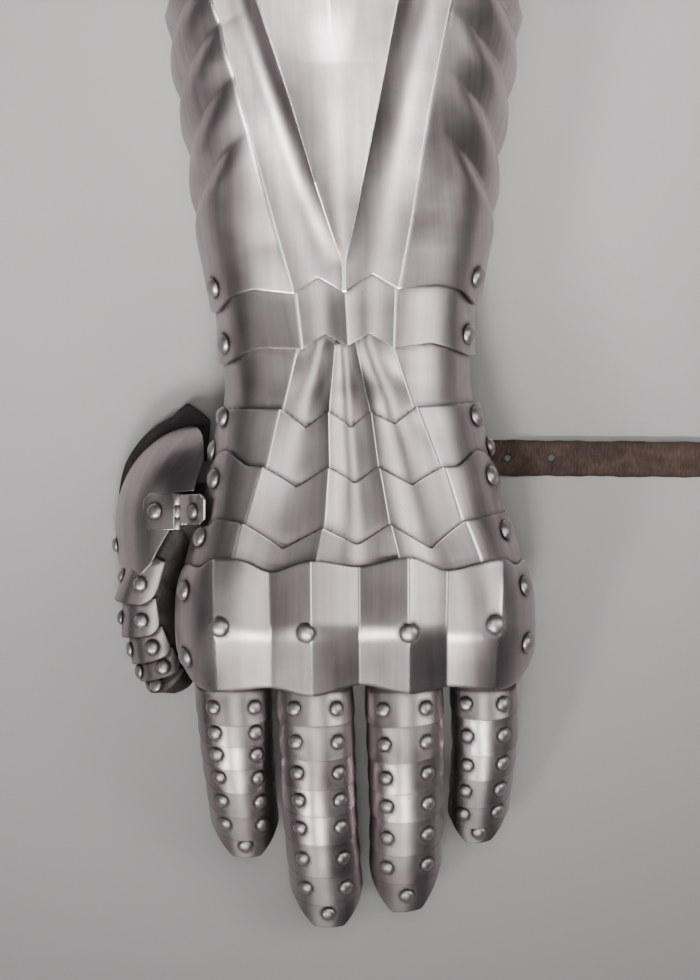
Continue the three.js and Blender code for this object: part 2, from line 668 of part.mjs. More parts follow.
// The line of the thumb through the middle of its leather, with the lean of its lames towards the
// outside in degrees and the radius of the leather.
const thumbLine = {
  y: [-42, -52, -62, -72, -82, -91, -98],
  x: [-52, -58.6, -63.2, -63.6, -61.8, -58.8, -56.6],
  z: [17.2, 17, 14.8, 12.8, 11, 9.6, 8.6],
  lean: [50, 55, 58, 56, 48, 36, 30],
  radius: [8.6, 8.8, 8.6, 8.4, 8, 7.4, 6.8],
};

const thumbLift = 3.5;         // height of a lame's free end over the next one

function thumbPlace(y) {
  const value = (key, t) => soft(thumbLine.y.map((at, i) => [at, thumbLine[key][i]]).reverse(), t, 3);
  const centre = (t) => new THREE.Vector3(value('x', t), t, value('z', t));
  const along = centre(y - 1).sub(centre(y + 1)).normalize();
  const lean = degToRad(value('lean', y));
  const outward = new THREE.Vector3(-Math.sin(lean), 0, Math.cos(lean));
  const across = new THREE.Vector3().crossVectors(outward, along).normalize();
  const up = new THREE.Vector3().crossVectors(along, across).normalize();
  const radius = value('radius', y);
  const reach = radius + fingerThickness + pieceGap;
  const lame = { half: reach, rise: reach, wrap: 62, lift: thumbLift };
  const point = centre(y).addScaledVector(up, reach);
  return { ...lame, point, across, up, radius, centre: centre(y) };
}

const thumbRivets = [[0.6, -0.5], [0.6, 0.5]];
const thumbEdges = [-70, -79.6, -87.4, -93.4];
const thumbStarts = [-64, ...thumbEdges.map((y) => y + 0.6 * lapUnder)];
thumbEdges.forEach((edge, k) => {
  const solid = bandLame(thumbPlace(thumbStarts[k]), thumbPlace(edge), thumbRivets);
  addPiece(`thumb_lame_${k + 1}`, solid, steel);
});
const [thumbTipStart, thumbTipEnd] = [thumbStarts[4] - 1.2, -99.6].map(thumbPlace);
addPiece('thumb_tip', bandLame(thumbTipStart, thumbTipEnd, [[0.55, 0]], pointedEnd), steel);

// ---- thumb hinge ----

const hinge = {
  x: -55.4, z: 33.4, radius: 1.75, bore: 1.05, pin: 0.8,
  ends: [-36.5, -48], splits: [-40.3, -44.2], splitGap: 0.35, leaf: 1.0,
};

function barrelPart(from, to) {
  const axis = new THREE.Vector3(0, -1, 0);
  const seat = new THREE.Vector3(hinge.x, from, hinge.z);
  const length = from - to;
  return turned([[0, 0], [hinge.radius, 0], [hinge.radius, length], [0, length]], 10, seat, axis);
}

const hingeBore = turned([[0, -2], [hinge.bore, -2], [hinge.bore, 16], [0, 16]], 10,
  new THREE.Vector3(hinge.x, hinge.ends[0], hinge.z), new THREE.Vector3(0, -1, 0));

function clearBlock(from, to) {
  const block = new THREE.BoxGeometry(2 * hinge.radius + 1.2, from - to, 3 * hinge.radius);
  block.translate(hinge.x, (from + to) / 2, hinge.z);
  return toSolid(block);
}

const gapHalf = hinge.splitGap / 2;
const [splitNear, splitFar] = hinge.splits;
const [barrelNear, barrelFar] = hinge.ends;

// The outer leaf lies on the shell, with its two corners cut off, and holds the end knuckles.
const outerLeafOutside = (v, u) => {
  const bend = lerp(41, 17.5, u);
  const corner = 2.2 * clamp((bend - 36) / 5, 0, 1);
  return shellPoint(bend, lerp(barrelNear - corner, barrelFar + corner, v), pieceGap + hinge.leaf);
};
const leafRivetY = -42.2;
const outerRivet = { ...fingerRivet, radius: 2.6 };
const outerRivetPlace = {
  point: shellPoint(31, leafRivetY, pieceGap + hinge.leaf),
  normal: shellPlace(31, leafRivetY).normal,
};
const outerLeaf = wall(2, 5, outerLeafOutside, hinge.leaf)
  .subtract(clearBlock(splitNear + gapHalf, splitFar - gapHalf))
  .add(barrelPart(barrelNear, splitNear + gapHalf))
  .add(barrelPart(splitFar - gapHalf, barrelFar))
  .subtract(hingeBore)
  .add(head(outerRivet, outerRivetPlace));
addPiece('hinge_leaf_thumb', outerLeaf, steel);

// The inner leaf holds the middle knuckle and turns up along the side of the second hand lame.
const innerLeafEnd = -46.4;
const innerLeafLine = [[-55, 34.6], [-51.6, 35.6], [-49.4, 38.2], [-48.2, 41], [-46.9, 43.8]];
const innerLeafOutside = (v, u) => {
  const step = u * (innerLeafLine.length - 1);
  const [x, z] = [0, 1].map((axis) => chain(innerLeafLine.map((point, i) => [i, point[axis]]), step));
  const corner = 1.6 * clamp(step - 3, 0, 1);
  return new THREE.Vector3(x, lerp(barrelNear - corner, innerLeafEnd + corner, v), z);
};
const innerRivetPlace = {
  point: new THREE.Vector3(-50.3, leafRivetY, 37.2),
  normal: new THREE.Vector3(-0.8, 0, 0.6),
};
const innerLeaf = wall(2, 4, innerLeafOutside, hinge.leaf)
  .subtract(clearBlock(barrelNear + 1, splitNear - gapHalf))
  .subtract(clearBlock(splitFar + gapHalf, barrelFar - 1))
  .add(barrelPart(splitNear - gapHalf, splitFar + gapHalf))
  .subtract(hingeBore)
  .add(head(fingerRivet, innerRivetPlace));
addPiece('hinge_leaf_hand', innerLeaf, steel);

const pinLength = barrelNear - barrelFar;
const pinSeat = new THREE.Vector3(hinge.x, barrelNear, hinge.z);
const pinProfile = [[0, 0], [hinge.pin, 0], [hinge.pin, pinLength], [0, pinLength]];
addPiece('hinge_pin', turned(pinProfile, 10, pinSeat, new THREE.Vector3(0, -1, 0)), steel);

// ---- leather glove ----

// A closed ring of the glove: a squared oval round centre, kept off the floor by floorLevel.
function ovalRing(centre, across, up, halfWidth, halfHeight, floorLevel, sides = 14, power = 2.4) {
  const ring = [];
  for (let i = 0; i < sides; i += 1) {
    const turn = (2 * Math.PI * i) / sides;
    const [c, s] = [Math.cos(turn), Math.sin(turn)];
    const point = centre.clone()
      .addScaledVector(across, halfWidth * Math.sign(c) * Math.abs(c) ** (2 / power))
      .addScaledVector(up, halfHeight * Math.sign(s) * Math.abs(s) ** (2 / power));
    point.z = Math.max(point.z, floorLevel);
    ring.push(point);
  }
  return ring;
}

const unitX = new THREE.Vector3(1, 0, 0);
const unitZ = new THREE.Vector3(0, 0, 1);

// The palm is a flat sleeve: [y, centre x, half width, top, bottom]. The heel rests on the floor.
const palmStations = [
  [3, -1, 30, 39, 6], [-10, -0.4, 33, 42, -0.6], [-26, 0.4, 37, 46, -1.2], [-42, 1, 40.5, 50, -0.6],
  [-58, 1.2, 44, 53, 5], [-76, 1.2, 47, 54.5, 12], [-95.6, 1.2, 47, 42.8, 18.8],
];

function palmRings(inset, stretch) {
  return palmStations.map(([y, x, half, top, bottom], i) => {
    const ends = [0, palmStations.length - 1];
    const shift = i === ends[0] ? stretch : i === ends[1] ? -stretch : 0;
    const centre = new THREE.Vector3(x, y + shift, (top + bottom) / 2);
    return ovalRing(centre, unitX, unitZ, half - inset, (top - bottom) / 2 - inset, inset, 16, 2.8);
  });
}

const thumbHole = turned([[0, 0], [11.5, 0], [11.5, 20], [0, 20]], 12,
  new THREE.Vector3(-28, -44, 18.5), new THREE.Vector3(-1, 0, 0));
const palmHollow = loft(palmRings(leatherThickness, 2));
addPiece('glove_palm', loft(palmRings(0, 0)).subtract(palmHollow).subtract(thumbHole), gloveLeather);

// A finger of the glove is a blind tube under its lames; depth is half its height.
function fingerTube(places) {
  const build = (inset, stretch) => loft(places.map((place, i) => {
    const centre = place.centre.clone();
    if (i === 0) centre.addScaledVector(place.back, stretch);
    if (i === places.length - 1) centre.addScaledVector(place.back, inset);
    const [half, height] = [place.width, place.depth].map((size) => Math.max(size - inset, 0.4));
    return ovalRing(centre, place.across, place.up, half, height, inset, 10, 2);
  }));
  return build(0, 0).subtract(build(leatherThickness, 3));
}

// The size of a glove fingertip as a share of its full size, over the share of its length.
const tipRounding = [[0, 1], [0.86, 1], [0.94, 0.86], [1, 0.5]];

function gloveFinger(finger) {
  const end = finger.tip - 1.8;
  const places = [0, 0.3, 0.6, 0.85, 1].map((share) => {
    const y = lerp(fingerRoot - 0.4, end, share);
    const { point, across, up } = fingerPlace(finger, y);
    const full = lerp(10.6, 9, share);
    const depth = full * chain(tipRounding, share);
    const centre = point.clone().addScaledVector(up, -(fingerThickness + 0.6 + full));
    const back = up.clone().cross(across).normalize();
    if (back.y < 0) back.negate();
    const width = (lerp(...finger.half, share) - 2) * chain(tipRounding, share);
    return { centre, across, up, back, width, depth };
  });
  return fingerTube(places);
}
for (const [name, finger] of Object.entries(fingers)) {
  addPiece(`glove_${name}`, gloveFinger(finger), gloveLeather);
}

const gloveThumbPlaces = [-43, -54, -66, -78, -90, -98, -101].map((y, i, list) => {
  const { centre, across, up, radius } = thumbPlace(Math.max(y, -98));
  const back = up.clone().cross(across).normalize();
  if (back.y < 0) back.negate();
  const size = (radius - 0.2) * [1, 1, 1, 1, 1, 0.9, 0.45][i];
  if (i === list.length - 1) centre.addScaledVector(back, -3);
  return { centre, across, up, back, width: size, depth: size };
});
addPiece('glove_thumb', fingerTube(gloveThumbPlaces), gloveLeather);

// ---- wrist strap ----

// The strap is riveted inside the outer wall of the first hand lame, drops to the floor and lies
// out flat. Its line is [x, z] of its middle, with the grain side up.
const strap = { width: 11.5, thickness: 2, y: [-24.4, -25.4], hole: 1, holes: [51.5, 65.5] };
const strapLine = [[40.6, 34], [40.3, 20], [41.3, 9], [44.3, 4], [48, 1.7], [54, 1], [84, 1], [118, 1]];

function strapRing(i) {
  const before = strapLine[Math.max(i - 1, 0)];
  const after = strapLine[Math.min(i + 1, strapLine.length - 1)];
  const along = new THREE.Vector3(after[0] - before[0], 0, after[1] - before[1]).normalize();
  const across = new THREE.Vector3(0, 1, 0);
  const up = new THREE.Vector3().crossVectors(across, along).negate();
  const y = lerp(...strap.y, i / (strapLine.length - 1));
  const middle = new THREE.Vector3(strapLine[i][0], y, strapLine[i][1]);
  return [[-1, -1], [1, -1], [1, 1], [-1, 1]].map(([a, b]) => middle.clone()
    .addScaledVector(across, (a * strap.width) / 2)
    .addScaledVector(up, (b * strap.thickness) / 2));
}

let strapSolid = loft(strapLine.map((_, i) => strapRing(i)));
for (const x of strap.holes) {
  const place = { point: new THREE.Vector3(x, strap.y[0] - 0.4, 1), normal: unitZ };
  strapSolid = strapSolid.subtract(boreFor(strap.hole, 4, place));
}
addPiece('wrist_strap', strapSolid, strapLeather);

// Hidden inside the thumb side: a tab on the other strap rivet holds the plain buckle.
const tabLine = { x: -39.4, y: -24.4, top: 34, bottom: 17 };
const tab = new THREE.BoxGeometry(strap.thickness, strap.width, tabLine.top - tabLine.bottom);
tab.translate(tabLine.x, tabLine.y, (tabLine.top + tabLine.bottom) / 2);
addPiece('buckle_tab', toSolid(tab), strapLeather);

const buckle = { width: 17, height: 13, bar: 2, top: 16.6 };
const frame = new THREE.Shape();
frame.moveTo(-buckle.width / 2, 0);
frame.lineTo(buckle.width / 2, 0);
frame.lineTo(buckle.width / 2, buckle.height);
frame.lineTo(-buckle.width / 2, buckle.height);
const slot = new THREE.Path();
slot.moveTo(-buckle.width / 2 + buckle.bar, buckle.bar);
slot.lineTo(-buckle.width / 2 + buckle.bar, buckle.height - buckle.bar);
slot.lineTo(buckle.width / 2 - buckle.bar, buckle.height - buckle.bar);
slot.lineTo(buckle.width / 2 - buckle.bar, buckle.bar);
frame.holes.push(slot);
const buckleShape = new THREE.ExtrudeGeometry(frame, { depth: buckle.bar, bevelEnabled: false });
buckleShape.rotateX(Math.PI / 2);
buckleShape.rotateZ(Math.PI / 2);
buckleShape.translate(tabLine.x, tabLine.y, buckle.top - buckle.height);
addPiece('buckle', toSolid(buckleShape), steel);

export default gauntlet;
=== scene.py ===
import json
import bpy
import numpy as np
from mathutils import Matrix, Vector


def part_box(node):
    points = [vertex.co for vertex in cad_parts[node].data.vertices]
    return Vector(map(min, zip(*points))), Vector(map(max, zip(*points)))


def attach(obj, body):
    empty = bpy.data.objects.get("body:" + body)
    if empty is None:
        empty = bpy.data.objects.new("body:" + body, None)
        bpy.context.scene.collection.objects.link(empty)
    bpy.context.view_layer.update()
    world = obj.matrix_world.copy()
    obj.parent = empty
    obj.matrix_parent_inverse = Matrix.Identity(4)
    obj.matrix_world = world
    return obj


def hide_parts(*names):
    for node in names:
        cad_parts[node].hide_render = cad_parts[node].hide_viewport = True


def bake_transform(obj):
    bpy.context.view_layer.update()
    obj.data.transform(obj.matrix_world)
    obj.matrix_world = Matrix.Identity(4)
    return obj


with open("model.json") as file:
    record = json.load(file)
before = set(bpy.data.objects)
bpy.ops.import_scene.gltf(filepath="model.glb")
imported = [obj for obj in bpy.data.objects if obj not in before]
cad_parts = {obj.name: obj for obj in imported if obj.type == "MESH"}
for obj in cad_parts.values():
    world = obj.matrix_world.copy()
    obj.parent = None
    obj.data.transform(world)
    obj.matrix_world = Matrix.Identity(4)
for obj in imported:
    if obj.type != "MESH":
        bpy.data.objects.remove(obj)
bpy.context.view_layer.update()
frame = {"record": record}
bodyOf = {node: body for body, nodes in frame["record"]["behaviour"]["bodies"].items() for node in nodes}


mm = 0.001
hinge = {"x": -55.4, "z": 33.4, "near": -36.5, "far": -48.0, "splits": (-40.3, -44.2), "radius": 1.75, "pin": 0.8}

# Shapes are worked out in millimetres round the wrist; the hinge pin says where that point lies in the frame.
pinLow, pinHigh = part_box("hinge_pin")
shift = np.array([(pinLow.x + pinHigh.x) / 2 / mm - hinge["x"], pinHigh.y / mm - hinge["near"], 0.0])


def toFrame(points):
    return (points + shift) * mm


def vec(x, y, z):
    return np.array([x, y, z], float)


def unit(v):
    # a vector, or an array of them, divided by its length
    return v / np.maximum(np.linalg.norm(v, axis=-1, keepdims=True), 1e-9)


def chain(pairs, t):
    # straight lines through [t, value] pairs listed in rising t
    table = np.asarray(pairs, float)
    return np.interp(t, table[:, 0], table[:, 1])


def soft(pairs, t, reach):
    # the mean of the chain over a window of twice the reach, which rounds its corners
    return sum(chain(pairs, t + reach * ((2 * i + 1) / 8 - 1)) for i in range(8)) / 8


def smooth(t, low, high):
    # 0 below low, 1 above high and 3s^2 - 2s^3 between them
    s = np.clip((t - low) / (high - low), 0, 1)
    return s * s * (3 - 2 * s)


def ripple(points, size, seed):
    # a slow wave over a surface: the mean of four sines of different slants with about this wavelength in mm
    rng = np.random.default_rng(seed)
    total = 0
    for turn in rng.uniform(0, 2 * np.pi, 4):
        slant = np.array([np.cos(turn), np.sin(turn), 0.6 * np.cos(2 * turn)])
        total = total + np.sin(points @ slant * 2 * np.pi / (size * rng.uniform(0.7, 1.4)) + 7 * turn)
    return total / 4


def makePiece(name, points, faces, material, uv=None, marks=None):
    # a smooth mesh from points in plan mm; uv is in mm and marks are named numbers, one for each point
    mesh = bpy.data.meshes.new(name)
    mesh.from_pydata(toFrame(points).tolist(), [], faces)
    mesh.polygons.foreach_set("use_smooth", np.ones(len(mesh.polygons), bool))
    corner = np.zeros(len(mesh.loops), np.int32)
    mesh.loops.foreach_get("vertex_index", corner)
    if uv is not None:
        layer = mesh.uv_layers.new(name="surface")
        layer.data.foreach_set("uv", (uv[corner] * mm).astype(np.float32).ravel())
    for markName, values in (marks or {}).items():
        mark = mesh.attributes.new(markName, "FLOAT", "POINT")
        mark.data.foreach_set("value", np.broadcast_to(values, len(points)).astype(np.float32).ravel())
    mesh.materials.append(material)
    piece = bpy.data.objects.new(name, mesh)
    bpy.context.scene.collection.objects.link(piece)
    return piece


def gridFaces(rows, columns, closed=False):
    # four corners for each cell of a grid of points; closed joins the last column to the first
    i, j = np.meshgrid(np.arange(rows - 1), np.arange(columns if closed else columns - 1), indexing="ij")
    after = (j + 1) % columns
    cells = np.stack([i * columns + j, (i + 1) * columns + j, (i + 1) * columns + after, i * columns + after], -1)
    return cells.reshape(-1, 4)


def arcLengths(grid):
    # for each grid point, its distance in mm along its row and along its column
    acrossStep = np.linalg.norm(np.diff(grid, axis=1), axis=-1)
    alongStep = np.linalg.norm(np.diff(grid, axis=0), axis=-1)
    across = np.pad(np.cumsum(acrossStep, axis=1), ((0, 0), (1, 0)))
    along = np.pad(np.cumsum(alongStep, axis=0), ((1, 0), (0, 0)))
    across = across - across[:, across.shape[1] // 2][:, None]
    return np.stack([across, along], -1).reshape(-1, 2)


def thicken(piece, thickness, rounding=0.18, segments=2):
    # gives a sheet its wall, inwards, and rounds the rim
    wall = piece.modifiers.new("wall", "SOLIDIFY")
    wall.thickness = thickness * mm
    wall.offset = -1
    rim = piece.modifiers.new("rim", "BEVEL")
    rim.width = rounding * mm
    rim.segments = segments
    rim.limit_method = "ANGLE"
    rim.angle_limit = np.radians(50)
    rim.use_clamp_overlap = True
    return piece


def turnedFaces(rings, sides):
    # rings of points with a pole at each end of the list
    body = gridFaces(rings, sides, closed=True) + 1
    j = np.arange(sides)
    after = (j + 1) % sides
    last = 1 + (rings - 1) * sides
    first = np.stack([np.zeros(sides, int), 1 + j, 1 + after], -1)
    end = np.stack([np.full(sides, last + sides), last + after, last + j], -1)
    return body, first, end


def turned(profile, sides, seats, directions):
    # (radius, height) pairs, from pole to pole, turned about each seat's own direction; one mesh for all seats
    profile = np.asarray(profile, float)
    turn = 2 * np.pi * np.arange(sides) / sides
    side = unit(np.cross(directions, np.where(np.abs(directions[:, 1:2]) > 0.9, vec(1, 0, 0), vec(0, 1, 0))))
    other = np.cross(directions, side)
    circle = np.cos(turn)[None, :, None] * side[:, None, :] + np.sin(turn)[None, :, None] * other[:, None, :]
    rings = profile[1:-1, 0][None, :, None, None] * circle[:, None, :, :]
    rings = rings + profile[1:-1, 1][None, :, None, None] * directions[:, None, None, :]
    body = rings.reshape(len(seats), -1, 3)
    poles = profile[[0, -1], 1][None, :, None] * directions[:, None, :]
    local = np.concatenate([poles[:, :1], body, poles[:, 1:]], axis=1)
    points = (local + seats[:, None, :]).reshape(-1, 3)
    count = local.shape[1]
    faces = []
    for part in turnedFaces(len(profile) - 2, sides):
        faces += (part[None] + (np.arange(len(seats)) * count)[:, None, None]).reshape(-1, part.shape[1]).tolist()
    heights = np.concatenate([profile[:1, 1], np.repeat(profile[1:-1, 1], sides), profile[-1:, 1]])
    return points, faces, np.tile(heights, len(seats))


def settle(piece, body, slot, *nodes):
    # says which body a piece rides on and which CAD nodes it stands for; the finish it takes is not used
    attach(piece, body)
    if nodes:
        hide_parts(*nodes)
    return piece


def toLinear(hexCode):
    # an sRGB hex code as linear red, green, blue and alpha 1
    levels = [int(hexCode[i:i + 2], 16) / 255 for i in (1, 3, 5)]
    return tuple(c / 12.92 if c <= 0.04045 else ((c + 0.055) / 1.055) ** 2.4 for c in levels) + (1.0,)


def addNode(tree, kind, settings=None, inputs=None, stops=()):
    # one node with its settings; an input takes a value or another node's output, and a ramp takes (place, colour or
    # grey) stops in rising order
    node = tree.nodes.new(kind)
    for key, value in (settings or {}).items():
        setattr(node, key, value)
    for key, value in (inputs or {}).items():
        if isinstance(value, bpy.types.NodeSocket):
            tree.links.new(value, node.inputs[key])
        else:
            node.inputs[key].default_value = value
    for k, (place, colour) in enumerate(stops):
        element = node.color_ramp.elements[k] if k < 2 else node.color_ramp.elements.new(place)
        element.position = place
        element.color = toLinear(colour) if isinstance(colour, str) else (colour, colour, colour, 1.0)
    return node


def newMaterial(name):
    # a material whose tree is cleared
    material = bpy.data.materials.new(name)
    material.use_nodes = True
    material.node_tree.nodes.clear()
    return material, material.node_tree


steelLook = {
    "colour": "#bdb1b2",      # warm grey of bare mild steel
    "dull": "#988c8d",        # where it has been handled
    "darkWaxAndShade": "#2a2321",         # dark wax in the pits; round rivets and under covering edges this colour is painted shade
    "polishAndHighlight": "#dcd6d6",      # worn edges polished by use, and a painted highlight along the ridges
    "stain": "#a98a55",       # a patch of old varnish
    "groove": "#6f6864",      # the bottoms of the brush lines
    "brush": 0.22, "brushLength": 26.0,      # mm between brush lines and along one
    "rough": (0.28, 0.4),
}


def brushedSteel(name, look):
    # bare mild steel, ground and brushed by hand along the arm, then waxed: a satin sheen with fine lines, slow dents
    # of the hammer, a few crossing scratches, brighter worn edges with a painted highlight along the ridges, and
    # painted shade with dark wax round rivets and under covering edges
    material, tree = newMaterial(name)
    surface = addNode(tree, "ShaderNodeUVMap", {"uv_map": "surface"}).outputs[0]
    place = addNode(tree, "ShaderNodeTexCoord").outputs["Object"]
    waxAndShade = addNode(tree, "ShaderNodeAttribute", {"attribute_name": "waxAndShade"}).outputs["Fac"]
    edge = addNode(tree, "ShaderNodeAttribute", {"attribute_name": "edge"}).outputs["Fac"]
    stain = addNode(tree, "ShaderNodeAttribute", {"attribute_name": "stain"}).outputs["Fac"]

    grain = addNode(tree, "ShaderNodeMapping", inputs={
        "Vector": surface, "Scale": (1 / (look["brush"] * mm), 1 / (look["brushLength"] * mm), 1.0)}).outputs[0]
    lines = addNode(tree, "ShaderNodeTexNoise", inputs={
        "Vector": grain, "Scale": 1.0, "Detail": 4.0, "Roughness": 0.65}).outputs[0]
    wide = addNode(tree, "ShaderNodeMapping", inputs={
        "Vector": surface, "Scale": (1 / (3 * mm), 1 / (60 * mm), 1.0)}).outputs[0]
    bands = addNode(tree, "ShaderNodeTexNoise", inputs={"Vector": wide, "Scale": 1.0, "Detail": 2.0}).outputs[0]
    slanted = addNode(tree, "ShaderNodeMapping", inputs={
        "Vector": surface, "Rotation": (0, 0, 0.7), "Scale": (1 / (0.5 * mm), 1 / (22 * mm), 1.0)}).outputs[0]
    crossing = addNode(tree, "ShaderNodeTexNoise", inputs={"Vector": slanted, "Scale": 1.0, "Detail": 1.0}).outputs[0]
    scratches = addNode(tree, "ShaderNodeValToRGB", inputs={"Fac": crossing}, stops=[
        (0.0, 0.0), (0.71, 0.0), (0.76, 1.0)]).outputs[0]
    clouds = addNode(tree, "ShaderNodeTexNoise", inputs={
        "Vector": place, "Scale": 1 / (22 * mm), "Detail": 4.0}).outputs[0]
    dents = addNode(tree, "ShaderNodeTexNoise", inputs={
        "Vector": place, "Scale": 1 / (9 * mm), "Detail": 1.0}).outputs[0]
    fine = addNode(tree, "ShaderNodeTexNoise", inputs={
        "Vector": place, "Scale": 1 / (1.6 * mm), "Detail": 2.0}).outputs[0]
    pits = addNode(tree, "ShaderNodeValToRGB", inputs={"Fac": fine}, stops=[
        (0.0, 0.0), (0.74, 0.0), (0.8, 0.5)]).outputs[0]

    blotches = addNode(tree, "ShaderNodeMix", {"data_type": "FLOAT"}, {0: 0.4, 2: clouds, 3: bands}).outputs[0]
    tone = addNode(tree, "ShaderNodeValToRGB", inputs={"Fac": blotches}, stops=[
        (0.3, look["dull"]), (0.62, look["colour"])]).outputs[0]
    groove = addNode(tree, "ShaderNodeMapRange", inputs={
        "Value": lines, "From Min": 0.3, "From Max": 0.6, "To Min": 0.12, "To Max": 0.0}).outputs[0]
    # the grime mark is painted shade round rivet heads and under covering edges, with some dark wax; it darkens here
    shadeAndWaxMask = addNode(tree, "ShaderNodeMath", {"operation": "MULTIPLY", "use_clamp": True}, {
        0: waxAndShade, 1: 0.85}).outputs[0]
    # the edge mark lightens worn edges and paints a highlight along each ridge
    polishAndHighlightMask = addNode(tree, "ShaderNodeMath", {"operation": "MULTIPLY", "use_clamp": True}, {
        0: edge, 1: 0.7}).outputs[0]
    for mask, key in ((groove, "groove"), (pits, "darkWaxAndShade"), (stain, "stain"), (shadeAndWaxMask, "darkWaxAndShade"), (polishAndHighlightMask, "polishAndHighlight")):
        tone = addNode(tree, "ShaderNodeMix", {"data_type": "RGBA"}, {
            0: mask, 6: tone, 7: toLinear(look[key])}).outputs[2]

    uneven = addNode(tree, "ShaderNodeMix", {"data_type": "FLOAT"}, {0: 0.6, 2: lines, 3: clouds}).outputs[0]
    low, high = look["rough"]
    satin = addNode(tree, "ShaderNodeMapRange", inputs={
        "Value": uneven, "From Min": 0.3, "From Max": 0.7, "To Min": low, "To Max": high}).outputs[0]
    shadeAndWaxRough = addNode(tree, "ShaderNodeMath", {"operation": "MULTIPLY_ADD"}, {0: waxAndShade, 1: 0.3, 2: satin}).outputs[0]
    rough = addNode(tree, "ShaderNodeMath", {"operation": "MULTIPLY_ADD"}, {0: edge, 1: -0.1, 2: shadeAndWaxRough}).outputs[0]

    dented = addNode(tree, "ShaderNodeBump", inputs={
        "Height": dents, "Strength": 0.3, "Distance": 0.05 * mm}).outputs[0]
    scratched = addNode(tree, "ShaderNodeBump", {"invert": True}, {
        "Height": scratches, "Strength": 0.35, "Distance": 0.02 * mm, "Normal": dented}).outputs[0]
    brushed = addNode(tree, "ShaderNodeBump", inputs={
        "Height": lines, "Strength": 0.35, "Distance": 0.008 * mm, "Normal": scratched}).outputs[0]
    shader = addNode(tree, "ShaderNodeBsdfPrincipled", inputs={
        "Base Color": tone, "Metallic": 1.0, "Roughness": rough, "Normal": brushed})
    addNode(tree, "ShaderNodeOutputMaterial", inputs={"Surface": shader.outputs[0]})
    return material


leatherLook = {"dark": "#0e0b0a", "light": "#2a201c", "grain": 1.1, "crease": 7.0}


def glovedLeather(look):
    # vegetable-tanned cowhide, dyed nearly black and waxed: soft gloss on a pebbled grain with creases
    material, tree = newMaterial("waxed_glove_leather")
    place = addNode(tree, "ShaderNodeTexCoord").outputs["Object"]
    pebbles = addNode(tree, "ShaderNodeTexVoronoi", {"feature": "F1"}, {
        "Vector": place, "Scale": 1 / (look["grain"] * mm)}).outputs["Distance"]
    clouds = addNode(tree, "ShaderNodeTexNoise", inputs={
        "Vector": place, "Scale": 1 / (14 * mm), "Detail": 5.0}).outputs[0]
    creases = addNode(tree, "ShaderNodeTexNoise", inputs={
        "Vector": place, "Scale": 1 / (look["crease"] * mm), "Detail": 6.0, "Roughness": 0.7}).outputs[0]
    mottle = addNode(tree, "ShaderNodeMix", {"data_type": "FLOAT"}, {0: 0.3, 2: clouds, 3: pebbles}).outputs[0]
    colour = addNode(tree, "ShaderNodeValToRGB", inputs={"Fac": mottle}, stops=[
        (0.3, look["dark"]), (0.62, look["light"])]).outputs[0]
    rough = addNode(tree, "ShaderNodeMapRange", inputs={
        "Value": clouds, "From Min": 0.3, "From Max": 0.7, "To Min": 0.5, "To Max": 0.72}).outputs[0]
    creased = addNode(tree, "ShaderNodeBump", inputs={
        "Height": creases, "Strength": 0.5, "Distance": 0.5 * mm}).outputs[0]
    pebbled = addNode(tree, "ShaderNodeBump", inputs={
        "Height": pebbles, "Strength": 0.6, "Distance": 0.14 * mm, "Normal": creased}).outputs[0]
    shader = addNode(tree, "ShaderNodeBsdfPrincipled", inputs={
        "Base Color": colour, "Metallic": 0.0, "Roughness": rough, "Normal": pebbled})
    addNode(tree, "ShaderNodeOutputMaterial", inputs={"Surface": shader.outputs[0]})
    return material


strapLook = {"dark": "#2a1e19", "middle": "#4a3830", "pale": "#655147", "edge": "#2b201b",
             "fibre": 0.45, "fibreLength": 3.0}


def strapSuede(look):
    # vegetable-tanned strap with its flesh side up: loose fibres, no gloss, pale rubbed patches and dark edges
    material, tree = newMaterial("rough_strap_leather")
    surface = addNode(tree, "ShaderNodeUVMap", {"uv_map": "surface"}).outputs[0]
    place = addNode(tree, "ShaderNodeTexCoord").outputs["Object"]
    edge = addNode(tree, "ShaderNodeAttribute", {"attribute_name": "edge"}).outputs["Fac"]
    nap = addNode(tree, "ShaderNodeMapping", inputs={
        "Vector": surface, "Scale": (1 / (look["fibreLength"] * mm), 1 / (look["fibre"] * mm), 1.0)}).outputs[0]
    fibres = addNode(tree, "ShaderNodeTexNoise", inputs={
        "Vector": nap, "Scale": 1.0, "Detail": 5.0, "Roughness": 0.7}).outputs[0]
    patches = addNode(tree, "ShaderNodeTexNoise", inputs={
        "Vector": place, "Scale": 1 / (5 * mm), "Detail": 5.0, "Roughness": 0.65}).outputs[0]
    mottle = addNode(tree, "ShaderNodeMix", {"data_type": "FLOAT"}, {0: 0.45, 2: fibres, 3: patches}).outputs[0]
    body = addNode(tree, "ShaderNodeValToRGB", inputs={"Fac": mottle}, stops=[
        (0.34, look["dark"]), (0.5, look["middle"]), (0.66, look["pale"])]).outputs[0]
    colour = addNode(tree, "ShaderNodeMix", {"data_type": "RGBA"}, {
        0: edge, 6: body, 7: toLinear(look["edge"])}).outputs[2]
    fluffed = addNode(tree, "ShaderNodeBump", inputs={
        "Height": mottle, "Strength": 0.8, "Distance": 0.35 * mm}).outputs[0]
    shader = addNode(tree, "ShaderNodeBsdfPrincipled", inputs={
        "Base Color": colour, "Metallic": 0.0, "Roughness": 0.93, "Sheen Weight": 0.25, "Normal": fluffed})
    addNode(tree, "ShaderNodeOutputMaterial", inputs={"Surface": shader.outputs[0]})
    return material


plateSteel = brushedSteel("brushed_mild_steel", steelLook)
lameSteel = brushedSteel("brushed_lame_steel", {**steelLook, "brush": 0.18, "brushLength": 9.0})
rivetSteel = brushedSteel("turned_rivet_steel", {**steelLook, "colour": "#bcb2b3", "dull": "#9f9495", "brush": 0.12,
                                                 "brushLength": 1.5, "rough": (0.36, 0.48)})
gloveSkin = glovedLeather(leatherLook)
strapSkin = strapSuede(strapLook)
print("materials made")


